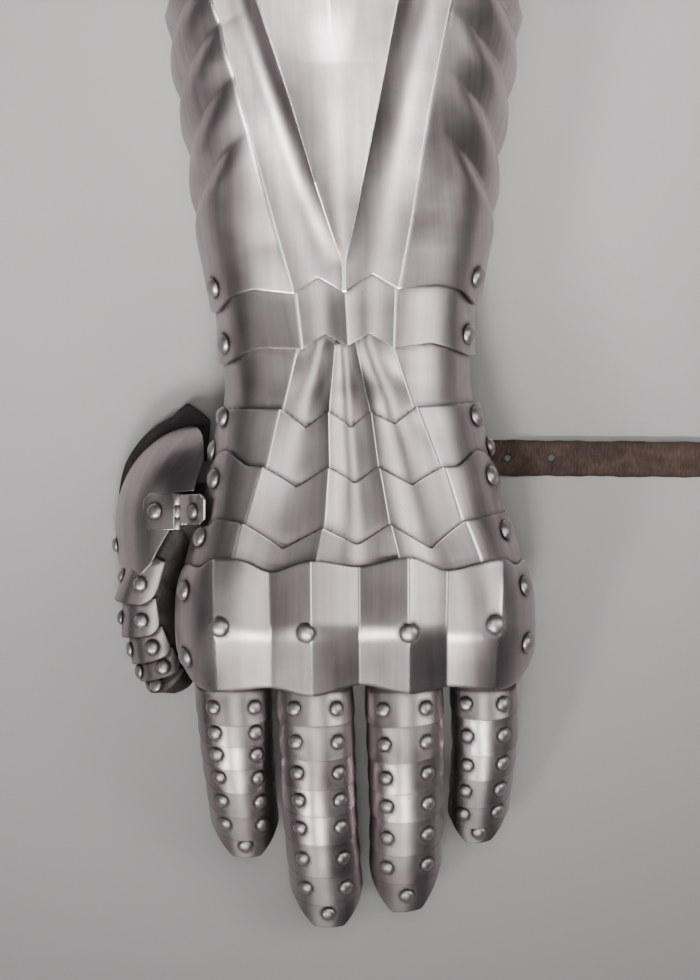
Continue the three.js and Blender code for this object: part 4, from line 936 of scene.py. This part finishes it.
def makeShell():
    # the ellipsoid between its top line and its foot, column by column of bend
    bend = shareOut(0.9, np.unique([at for at, _ in shell["foot"]] + [0, 1]))[::-1]
    v = np.linspace(0, 1, 60)[:, None]
    foot, top = chain(shell["foot"], bend), soft(shell["top"], bend, 0.4)
    grid = shellPoint(bend + 0 * v, top + (foot - top) * v, 0.0)
    points = grid.reshape(-1, 3)
    seats = [(*shellPlace(*shell["rivet"]), 1.5, False)]
    points = points + 0.07 * ripple(points, 16, 8)[:, None] * unit(points - shell["centre"])
    edge = 0.4 * np.maximum(np.exp(-(1 - v) * np.abs(foot - top) / 0.5), np.exp(-v * 45 / 0.5)).ravel()
    piece = makePiece("thumb_shell_plate", points, gridFaces(*grid.shape[:2]).tolist(), plateSteel, arcLengths(grid),
                      {"waxAndShade": ringShadeAndWax(points, seats, lameRivet["radius"]), "edge": edge})
    thicken(piece, 1.2)
    settle(piece, "thumb", "steel", "thumb_shell")
    makeRivets("thumb_shell_rivet", seats, lameRivet, "thumb")


skirt = {"level": 4.2, "height": 18, "inner": 0.66,
         "edge": [(-4, 1.05), (8.5, 1.236), (18.5, 1.138), (43, 1.107), (56, 1.078), (68, 1.03), (84, 0.97)]}


def makeSkirt():
    # leather behind the shell that shows past its rim, with one blunt point: a shallow bowl whose reach is 1 where the
    # shell's outline is
    turn = np.linspace(84, -4, 90)
    reach = chain(skirt["edge"], turn)
    reach = reach + (skirt["inner"] - reach) * np.linspace(0, 1, 24)[:, None]
    angle = np.radians(turn)
    grid = np.stack(np.broadcast_arrays(
        shell["centre"][0] - shell["reach"][0] * reach * np.sin(angle),
        shell["centre"][1] + shell["reach"][1] * reach * np.cos(angle),
        skirt["level"] + skirt["height"] * np.maximum(0, 1 - reach ** 2)), -1)
    points = grid.reshape(-1, 3)
    points = points + 0.25 * ripple(points, 9, 21)[:, None] * vec(0, 0, 1)
    piece = makePiece("thumb_backing_leather", points, gridFaces(*grid.shape[:2]).tolist(), gloveSkin,
                      arcLengths(grid))
    thicken(piece, 1.8, 0.5, 3)
    return settle(piece, "thumb", "glove_leather", "thumb_backing")


makeShell()
makeSkirt()
print("thumb shell made")


def makeLeaf(name, grid, seats, body):
    # a leaf of sheet steel whose edges are filed
    points = grid.reshape(-1, 3)
    rows, columns = grid.shape[:2]
    v, u = np.meshgrid(np.linspace(0, 1, rows), np.linspace(0, 1, columns), indexing="ij")
    edge = np.exp(-np.minimum(np.minimum(v, 1 - v), np.minimum(u, 1 - u)) * 11 / 0.4)
    piece = makePiece(name, points, gridFaces(rows, columns).tolist(), plateSteel, arcLengths(grid),
                      {"waxAndShade": ringShadeAndWax(points, seats, 2.6), "edge": edge.ravel()})
    thicken(piece, 1.0, 0.2)
    return settle(piece, body, "steel")


def makeBarrel(name, spans, body):
    # rolled knuckles of the hinge: a ring section turned about the pin for each span along it
    radius, bore, soften = hinge["radius"], hinge["pin"] + 0.1, 0.2
    for k, (near, far) in enumerate(spans):
        length = near - far
        section = [(bore, 0), (radius - soften, 0), (radius, soften), (radius, length - soften),
                   (radius - soften, length), (bore, length)]
        turn = 2 * np.pi * np.arange(40) / 40
        ring = np.array([[hinge["x"] + r * np.cos(turn), near - h + 0 * turn, hinge["z"] + r * np.sin(turn)]
                         for r, h in section]).transpose(0, 2, 1)
        points = ring.reshape(-1, 3)
        faces = gridFaces(len(section), 40, closed=True)
        closing = np.stack([faces[:40, 0], faces[:40, 3], faces[-40:, 2], faces[-40:, 1]], -1)
        allFaces = np.concatenate([faces[:, ::-1], closing[:, ::-1]]).tolist()
        uv = np.stack([np.tile(turn * radius, len(section)), points[:, 1]], -1)
        piece = makePiece(f"{name}_{k + 1}", points, allFaces, rivetSteel, uv, {"waxAndShade": 0.15, "edge": 0.0})
        settle(piece, body, "steel")


leaves = {
    "gap": 0.175,                                    # half the space between two rolled knuckles
    "thumbBend": (41, 17.5), "thumbCorner": 2.2, "thumbStand": 1.4, "thumbRivet": (31.0, -42.2),
    "handLine": [(-55, 34.6), (-51.6, 35.6), (-49.4, 38.2), (-48.2, 41), (-46.9, 43.8)],      # in x and z
    "handEnd": -46.4, "handCorner": 1.6, "handRivet": (-50.3, -42.2, 37.2), "handFacing": (-0.8, 0, 0.6),
}


def makeHinge():
    # two leaves, one on the shell and one up to the hand lame, with rolled knuckles that alternate on one pin
    near, far = hinge["near"], hinge["far"]
    splitNear, splitFar = hinge["splits"]
    gap, stand = leaves["gap"], leaves["thumbStand"]
    bend = np.linspace(*leaves["thumbBend"], 40)
    corner = leaves["thumbCorner"] * np.clip((bend - leaves["thumbBend"][0] + 5) / 5, 0, 1)
    v = np.linspace(0, 1, 24)[:, None]
    outer = shellPoint(bend + 0 * v, near - corner + (far - near + 2 * corner) * v, stand)
    outerSeat = (shellPlace(*leaves["thumbRivet"], stand)[0], shellPlace(*leaves["thumbRivet"])[1], 1.6, False)
    thumbLeaf = makeLeaf("hinge_thumb_leaf", outer, [outerSeat], "thumb")
    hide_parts("hinge_leaf_thumb")
    makeRivets("hinge_thumb_rivet", [outerSeat], {**lameRivet, "radius": 2.6}, "thumb")

    line = np.array(leaves["handLine"])
    step = np.linspace(0, len(line) - 1, 40)
    x, z = (soft(list(enumerate(line[:, k])), step, 0.4) for k in (0, 1))
    end = leaves["handEnd"]
    corner = leaves["handCorner"] * np.clip(step - 3, 0, 1)
    inner = np.stack(np.broadcast_arrays(x, near - corner + (end - near + 2 * corner) * v, z), -1)
    innerSeat = (vec(*leaves["handRivet"]), vec(*leaves["handFacing"]), 1.2, False)
    handLeaf = makeLeaf("hinge_hand_leaf", inner, [innerSeat], "hand_lame_2")
    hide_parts("hinge_leaf_hand")
    makeRivets("hinge_hand_rivet", [innerSeat], lameRivet, "hand_lame_2")

    makeBarrel("hinge_thumb_knuckle", [(near, splitNear + gap), (splitFar - gap, far)], "thumb")
    makeBarrel("hinge_hand_knuckle", [(splitNear - gap, splitFar + gap)], "hand_lame_2")
    length = near - far
    pin = hinge["pin"]
    profile = [(0, 0.25), (0.7 * pin, 0.2), (pin, 0), (pin, -length), (0.7 * pin, -length - 0.2), (0, -length - 0.25)]
    points, faces, _ = turned(profile, 24, vec(hinge["x"], near, hinge["z"])[None], vec(0, 1, 0)[None])
    uv = np.stack([points[:, 0], points[:, 1]], -1)
    piece = makePiece("hinge_pin_steel", points, faces, rivetSteel, uv, {"waxAndShade": 0.2, "edge": 0.0})
    settle(piece, "hand_lame_2", "steel", "hinge_pin")


makeHinge()
print("hinge made")


palm = {
    # y, centre x, half width, top and bottom; the heel rests on the floor
    "stations": [(3, -1, 30, 39, 6), (-10, -0.4, 33, 42, -0.6), (-26, 0.4, 37, 46, -1.2), (-42, 1, 40.5, 50, -0.6),
                 (-58, 1.2, 44, 53, 5), (-76, 1.2, 47, 54.5, 12), (-95.6, 1.2, 47, 42.8, 18.8)],
    "power": 2.8, "thumbHole": vec(0, -44, 18.5), "holeRadius": 11.5, "rings": 110, "sides": 150,
}


def ovalRing(centre, across, up, halfWidth, halfHeight, sides, power):
    # superellipse rings, one for each row of centre: x = w c^(2/power), y = h s^(2/power) on the ring's own axes
    turn = 2 * np.pi * np.arange(sides) / sides
    c, s = np.cos(turn), np.sin(turn)
    out = (np.sign(c) * np.abs(c) ** (2 / power))[None, :, None] * halfWidth[:, None, None] * across[:, None, :]
    rise = (np.sign(s) * np.abs(s) ** (2 / power))[None, :, None] * halfHeight[:, None, None] * up[:, None, :]
    return centre[:, None, :] + out + rise


def punch(faces, flat, radius):
    # opens a round hole in a grid and gives how far each point moves and the faces left: flat is each point's place in
    # the hole's own plane, points inside 1.25 radii move out to between 1 and 1.25 radii, and the middle faces go
    away = np.maximum(np.linalg.norm(flat, axis=-1), 1e-6)
    near = away < 1.25 * radius
    moved = np.where(near, radius + np.clip(away - 0.5 * radius, 0, None) / 3, away)
    shiftFlat = flat * (moved / away - 1)[:, None]
    keep = (away[faces] >= 0.5 * radius).all(axis=1)
    return shiftFlat, faces[keep]


def wrinkle(points, normal, depth, seed, size=7):
    # soft creases in leather: a ripple, and half as much of one at 0.4 of its size
    rise = depth * ripple(points, size, seed) + 0.5 * depth * ripple(points, 0.4 * size, seed + 1)
    return points + normal * rise[:, None]


def makePalm():
    # oval rings carried along the hand, with a hole in the side for the thumb
    stations = np.array(palm["stations"])[::-1]
    sides = palm["sides"]
    y = np.linspace(stations[-1, 0], stations[0, 0], palm["rings"])
    x, half, top, bottom = (soft(stations[:, [0, k]].tolist(), y, 3) for k in (1, 2, 3, 4))
    centre = np.stack([x, y, (top + bottom) / 2], -1)
    across, up = np.tile(vec(1, 0, 0), (len(y), 1)), np.tile(vec(0, 0, 1), (len(y), 1))
    grid = ovalRing(centre, across, up, half, (top - bottom) / 2, sides, palm["power"])
    points = grid.reshape(-1, 3)
    middle = np.repeat(centre, sides, axis=0)
    points = wrinkle(points, unit(points - middle), 0.35, 31, 16)
    faces = gridFaces(len(y), sides, closed=True)
    onThumbSide = points[:, 0] < -20
    flat = np.where(onThumbSide[:, None], (points - palm["thumbHole"])[:, 1:], 1e3)
    moved, faces = punch(faces, flat, palm["holeRadius"])
    points[:, 1:] += np.where(onThumbSide[:, None], moved, 0)
    points[:, 2] = np.maximum(points[:, 2], 0.05)
    piece = makePiece("glove_palm_leather", points, faces[:, ::-1].tolist(), gloveSkin)
    thicken(piece, 1.8, 0.4, 2)
    return settle(piece, "hand", "glove_leather", "glove_palm")


def makeTube(name, centre, across, up, width, depth, sides, seed):
    # a blind leather tube: oval rings, and the last one gathered to a pole
    grid = ovalRing(centre, across, up, width, depth, sides, 2.0)
    points = grid.reshape(-1, 3)
    middle = np.repeat(centre, sides, axis=0)
    points = wrinkle(points, unit(points - middle), 0.22, seed)
    points[:, 2] = np.maximum(points[:, 2], 0.05)
    pole = centre[-1:] + unit(centre[-1:] - centre[-2:-1]) * 0.3 * depth[-1]
    pole[:, 2] = np.maximum(pole[:, 2], 0.4)
    last = (len(centre) - 1) * sides + np.arange(sides)
    fan = np.stack([last, np.roll(last, -1), np.full(sides, len(points))], -1)
    faces = gridFaces(len(centre), sides, closed=True)[:, ::-1].tolist() + fan.tolist()
    piece = makePiece(name, np.concatenate([points, pole]), faces, gloveSkin)
    thicken(piece, 1.8, 0.3, 1)
    return piece


def makeGloveFinger(name, finger):
    # round leather under the lames, domed over the last seventh of its length
    share = np.concatenate([np.linspace(-0.05, 0.86, 50), 0.86 + 0.14 * np.sin(np.radians(np.linspace(4, 84, 14)))])
    start, end = band["root"] - 0.4, finger["tip"] - 1.8
    places = [fingerPlace(finger, start + (end - start) * s) for s in share]
    held = np.clip(share, 0, 1)
    dome = np.sqrt(np.clip(1 - np.clip((held - 0.86) / 0.143, 0, 1) ** 2, 0, 1))
    full = 10.6 - 1.6 * held
    point, across, up = (np.array([place[key] for place in places]) for key in ("point", "across", "up"))
    centre = point - up * (1.6 + full)[:, None]
    wide, narrow = finger["half"]
    width = (wide + (narrow - wide) * held - 2) * dome
    piece = makeTube(f"glove_{name}_leather", centre, across, up, width, full * dome, 44, len(name) + 3)
    return settle(piece, "hand", "glove_leather", f"glove_{name}")


thumbGlove = {
    "along": (-50, -96), "dome": 5.0, "last": -98,                        # y of the straight part, its dome and the end
    "root": vec(-40.5, -42.5, 18.6), "knee": vec(-51.5, -42.8, 18.0),     # of the curve out of the palm
    "rootRadius": 8.5, "stretch": (vec(-41, -44, 18), vec(-54, -48, 17)),
}


def makeGloveThumb():
    # leather of the thumb, from the hole in the palm's side round to its end
    near, far = thumbGlove["along"]
    dome, last = thumbGlove["dome"], thumbGlove["last"]
    y = np.concatenate([np.linspace(near, far, 50), far - dome * np.sin(np.radians(np.linspace(6, 84, 12)))])
    places = [thumbPlace(max(t, last)) for t in y]
    centre, across, up = (np.array([place[key] for place in places]) for key in ("centre", "across", "up"))
    centre[:, 1] = y
    radius = thumbValue("radius", np.maximum(y, last)) - 0.2
    radius = radius * np.sqrt(np.clip(1 - np.clip((far - y) / (dome + 0.05), 0, 1) ** 2, 0, 1))
    bend = np.linspace(0, 1, 16)[:-1, None]
    first = centre[0]
    root, knee = thumbGlove["root"], thumbGlove["knee"]
    path = (1 - bend) ** 2 * root + 2 * bend * (1 - bend) * knee + bend ** 2 * first
    heading = unit(2 * (1 - bend) * (knee - root) + 2 * bend * (first - knee))
    side = unit(np.cross(vec(0, 0, 1), heading))
    rise = unit(np.cross(heading, side))
    turnIn = smooth(bend[:, 0], 0.5, 1)[:, None]
    acrossRoot = unit(-side * (1 - turnIn) + across[0] * turnIn)
    upRoot = unit(rise * (1 - turnIn) + up[0] * turnIn)
    centre = np.concatenate([path, centre])
    across = np.concatenate([acrossRoot, across])
    up = np.concatenate([upRoot, up])
    size = np.concatenate([np.full(len(bend), thumbGlove["rootRadius"]), radius])
    piece = makeTube("glove_thumb_leather", centre, across, up, size, size, 44, 17)
    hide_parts("glove_thumb")
    start, end = (toFrame(at) for at in thumbGlove["stretch"])
    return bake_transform(piece)


makePalm()
for fingerName, fingerShape in fingers.items():
    makeGloveFinger(fingerName, fingerShape)
makeGloveThumb()
print("glove made")


strap = {
    "width": 11.5, "thickness": 2.0, "y": (-24.4, -25.4), "hole": 1.05, "holes": (51.5, 65.5),
    "line": [(40.6, 34), (40.3, 20), (41.3, 9), (44.3, 4), (48, 1.7), (54, 1), (84, 1), (118, 1)],
}


def ribbon(line, ys, width, thickness, steps, columns, rough):
    # a flat strip: its middle line in x and z, its top half a thickness above it, and its long edges a little uneven
    line = np.array(line, float)
    run = np.concatenate([[0], np.cumsum(np.linalg.norm(np.diff(line, axis=0), axis=1))])
    s = np.linspace(0, run[-1], steps)
    x = soft(list(zip(run, line[:, 0])), s, 2.5)
    z = soft(list(zip(run, line[:, 1])), s, 2.5)
    x[[0, -1]], z[[0, -1]] = line[[0, -1], 0], line[[0, -1], 1]
    slope = np.stack([np.gradient(x, s), np.zeros(steps), np.gradient(z, s)], -1)
    up = unit(np.cross(unit(slope), vec(0, 1, 0)))
    middle = np.stack([x, np.interp(s, [0, run[-1]], ys), z], -1) + up * thickness / 2
    across = np.linspace(-1, 1, columns)
    uneven = rough * (np.sin(s / 2.9) + 0.6 * np.sin(s / 1.1 + 2) + 0.5 * np.sin(s / 6.3 + 1)) / 2
    offset = across[None, :] * (width / 2 + uneven[:, None] * np.abs(across) ** 3)
    grid = middle[:, None, :] + offset[..., None] * vec(0, 1, 0)
    edge = np.exp(-(1 - np.abs(across)) * width / 2 / 0.6)
    return grid, np.broadcast_to(edge, grid.shape[:2]).ravel()


def makeStrap():
    # a ribbon from the side of the hand lame down to the floor and along it, with two punched holes
    grid, edge = ribbon(strap["line"], strap["y"], strap["width"], strap["thickness"], 260, 34, 0.22)
    points = grid.reshape(-1, 3)
    faces = gridFaces(*grid.shape[:2])
    uv = arcLengths(grid)
    rim = edge
    for x in strap["holes"]:
        flat = (points - vec(x, strap["y"][0] - 0.4, 0))[:, :2]
        flat = np.where(points[:, 2:3] < 6, flat, 1e3)
        away = np.linalg.norm(flat, axis=-1)
        rim = np.maximum(rim, np.exp(-np.clip(away - strap["hole"], 0, None) / 0.35))
        moved, faces = punch(faces, flat, strap["hole"])
        points[:, :2] += moved
    onFloor = (points[:, 2] < 4)[:, None] * vec(0, 0, 1)
    points = points + onFloor * 0.12 * ripple(points, 6, 44)[:, None]
    piece = makePiece("wrist_strap_leather", points, faces.tolist(), strapSkin, uv, {"edge": rim})
    thicken(piece, strap["thickness"] - 0.15, 0.45, 3)
    return settle(piece, "hand_lame_1", "strap_leather", "wrist_strap")


tab = {"x": -39.4, "y": -24.4, "top": 34, "bottom": 17}
buckle = {"width": 17, "height": 13, "bar": 2, "top": 16.6, "corner": 3.0}


def makeTab():
    # a short upright ribbon on the thumb side
    line = [(tab["x"], tab["bottom"]), (tab["x"], (tab["top"] + tab["bottom"]) / 2), (tab["x"], tab["top"])]
    grid, edge = ribbon(line, (tab["y"], tab["y"]), strap["width"], strap["thickness"], 40, 24, 0.1)
    piece = makePiece("buckle_tab_leather", grid.reshape(-1, 3), gridFaces(*grid.shape[:2]).tolist(), strapSkin,
                      arcLengths(grid), {"edge": edge})
    thicken(piece, strap["thickness"], 0.4, 3)
    return settle(piece, "hand_lame_1", "strap_leather", "buckle_tab")


def makeBuckle():
    # a round bar bent into a frame: a circle carried along a rectangle with rounded corners
    turn = np.radians(np.arange(0, 360, 7.5))
    w, h = (buckle["width"] - buckle["bar"]) / 2, (buckle["height"] - buckle["bar"]) / 2
    corner = buckle["corner"] - buckle["bar"] / 2
    y = np.sign(np.cos(turn)) * (w - corner) * (np.abs(np.cos(turn)) > 1e-9) + corner * np.cos(turn)
    z = np.sign(np.sin(turn)) * (h - corner) * (np.abs(np.sin(turn)) > 1e-9) + corner * np.sin(turn)
    centre = np.stack([0 * y, y, z], -1)
    out = np.stack([0 * y, np.cos(turn), np.sin(turn)], -1)
    around = 2 * np.pi * np.arange(20) / 20
    radius = buckle["bar"] / 2
    ring = (centre[:, None, :] + out[:, None, :] * radius * np.cos(around)[None, :, None]
            + vec(1, 0, 0) * radius * np.sin(around)[None, :, None])
    place = vec(tab["x"], tab["y"], buckle["top"] - buckle["height"] / 2)
    grid = np.concatenate([ring, ring[:1]])
    points = (ring + place).reshape(-1, 3)
    faces = gridFaces(len(turn) + 1, 20, closed=True) % (len(turn) * 20)
    uv = arcLengths(grid)[:len(points)]
    piece = makePiece("buckle_frame", points, faces.tolist(), rivetSteel, uv, {"waxAndShade": 0.1, "edge": 0.0})
    return settle(piece, "hand_lame_1", "steel", "buckle")


makeStrap()
makeTab()
makeBuckle()
print("strap made")


studio = {
    "floor": "#b9b6b4", "floorHalf": 1600, "sky": "#dfe2e8", "ambient": 0.08,
    "view": (0.0, -35.2), "viewHeight": 313.6, "focusZ": 45.0, "lens": 300.0, "sensor": 36.0,
}


def makeFloor():
    # pale matt paper: no gloss, and a fibre too fine to notice
    half = studio["floorHalf"]
    points = np.array([[-half, -half, 0], [half, -half, 0], [half, half, 0], [-half, half, 0]], float)
    material, tree = newMaterial("matt_studio_paper")
    place = addNode(tree, "ShaderNodeTexCoord").outputs["Object"]
    fibres = addNode(tree, "ShaderNodeTexNoise", inputs={
        "Vector": place, "Scale": 1 / (1.2 * mm), "Detail": 2.0}).outputs[0]
    grained = addNode(tree, "ShaderNodeBump", inputs={
        "Height": fibres, "Strength": 0.4, "Distance": 0.02 * mm}).outputs[0]
    shader = addNode(tree, "ShaderNodeBsdfPrincipled", inputs={
        "Base Color": toLinear(studio["floor"]), "Roughness": 0.9, "Normal": grained})
    addNode(tree, "ShaderNodeOutputMaterial", inputs={"Surface": shader.outputs[0]})
    floor = makePiece("studio_floor", points, [[0, 1, 2, 3]], material)
    floor.location.z = -0.0001


# for each lamp: place, aim and size in mm, power in watts and spread in degrees
lamps = {
    "overhead_softbox": ((0, -20, 1300), (0, 0, 40), (420, 860), 4.3, 180),
    "cuff_key": ((-40, -800, 1010), (0, 150, 70), (300, 280), 0.55, 24),
    "left_key": ((-640, -700, 860), (-20, 130, 60), (300, 320), 0.45, 30),
    "front_softbox": ((-160, -1000, 480), (0, -40, 40), (600, 360), 0.3, 180),
    "right_strip": ((820, 40, 780), (20, 50, 40), (460, 700), 0.85, 70),
    "left_strip": ((-900, 0, 900), (0, -20, 40), (350, 900), 0.45, 180),
    "thumb_strip": ((-800, 260, 380), (-60, -40, 20), (260, 300), 0.15, 180),
}


def makeLight(name, place, aim, size, power, spread):
    # a soft rectangular light at a place in mm, turned to an aim, with a honeycomb that narrows its spread in degrees
    light = bpy.data.lights.new(name, "AREA")
    light.shape = "RECTANGLE"
    light.size, light.size_y = size[0] * mm, size[1] * mm
    light.energy = power
    light.spread = np.radians(spread)
    lamp = bpy.data.objects.new(name, light)
    lamp.location = Vector(toFrame(vec(*place)))
    lamp.rotation_euler = (Vector(toFrame(vec(*aim))) - lamp.location).to_track_quat("-Z", "Y").to_euler()
    lamp.visible_camera = False
    bpy.context.scene.collection.objects.link(lamp)


def makeWorld():
    world = bpy.data.worlds.new("studio")
    bpy.context.scene.world = world
    world.use_nodes = True
    background = world.node_tree.nodes["Background"]
    background.inputs["Color"].default_value = toLinear(studio["sky"])
    background.inputs["Strength"].default_value = studio["ambient"]


def makeCamera():
    # straight above; a long lens, because the plates were laid out without perspective
    data = bpy.data.cameras.new("camera")
    data.sensor_width = studio["sensor"]
    data.sensor_fit = "AUTO"
    data.lens = studio["lens"]
    distance = studio["viewHeight"] * studio["lens"] / studio["sensor"]
    camera = bpy.data.objects.new("camera", data)
    x, y = studio["view"]
    camera.location = Vector(toFrame(vec(x, y, studio["focusZ"] + distance)))
    data.clip_start, data.clip_end = 0.1, 20.0
    bpy.context.scene.collection.objects.link(camera)
    bpy.context.scene.camera = camera


makeFloor()
makeWorld()
makeCamera()
for lampName, settings in lamps.items():
    makeLight(lampName, *settings)
print("studio made")
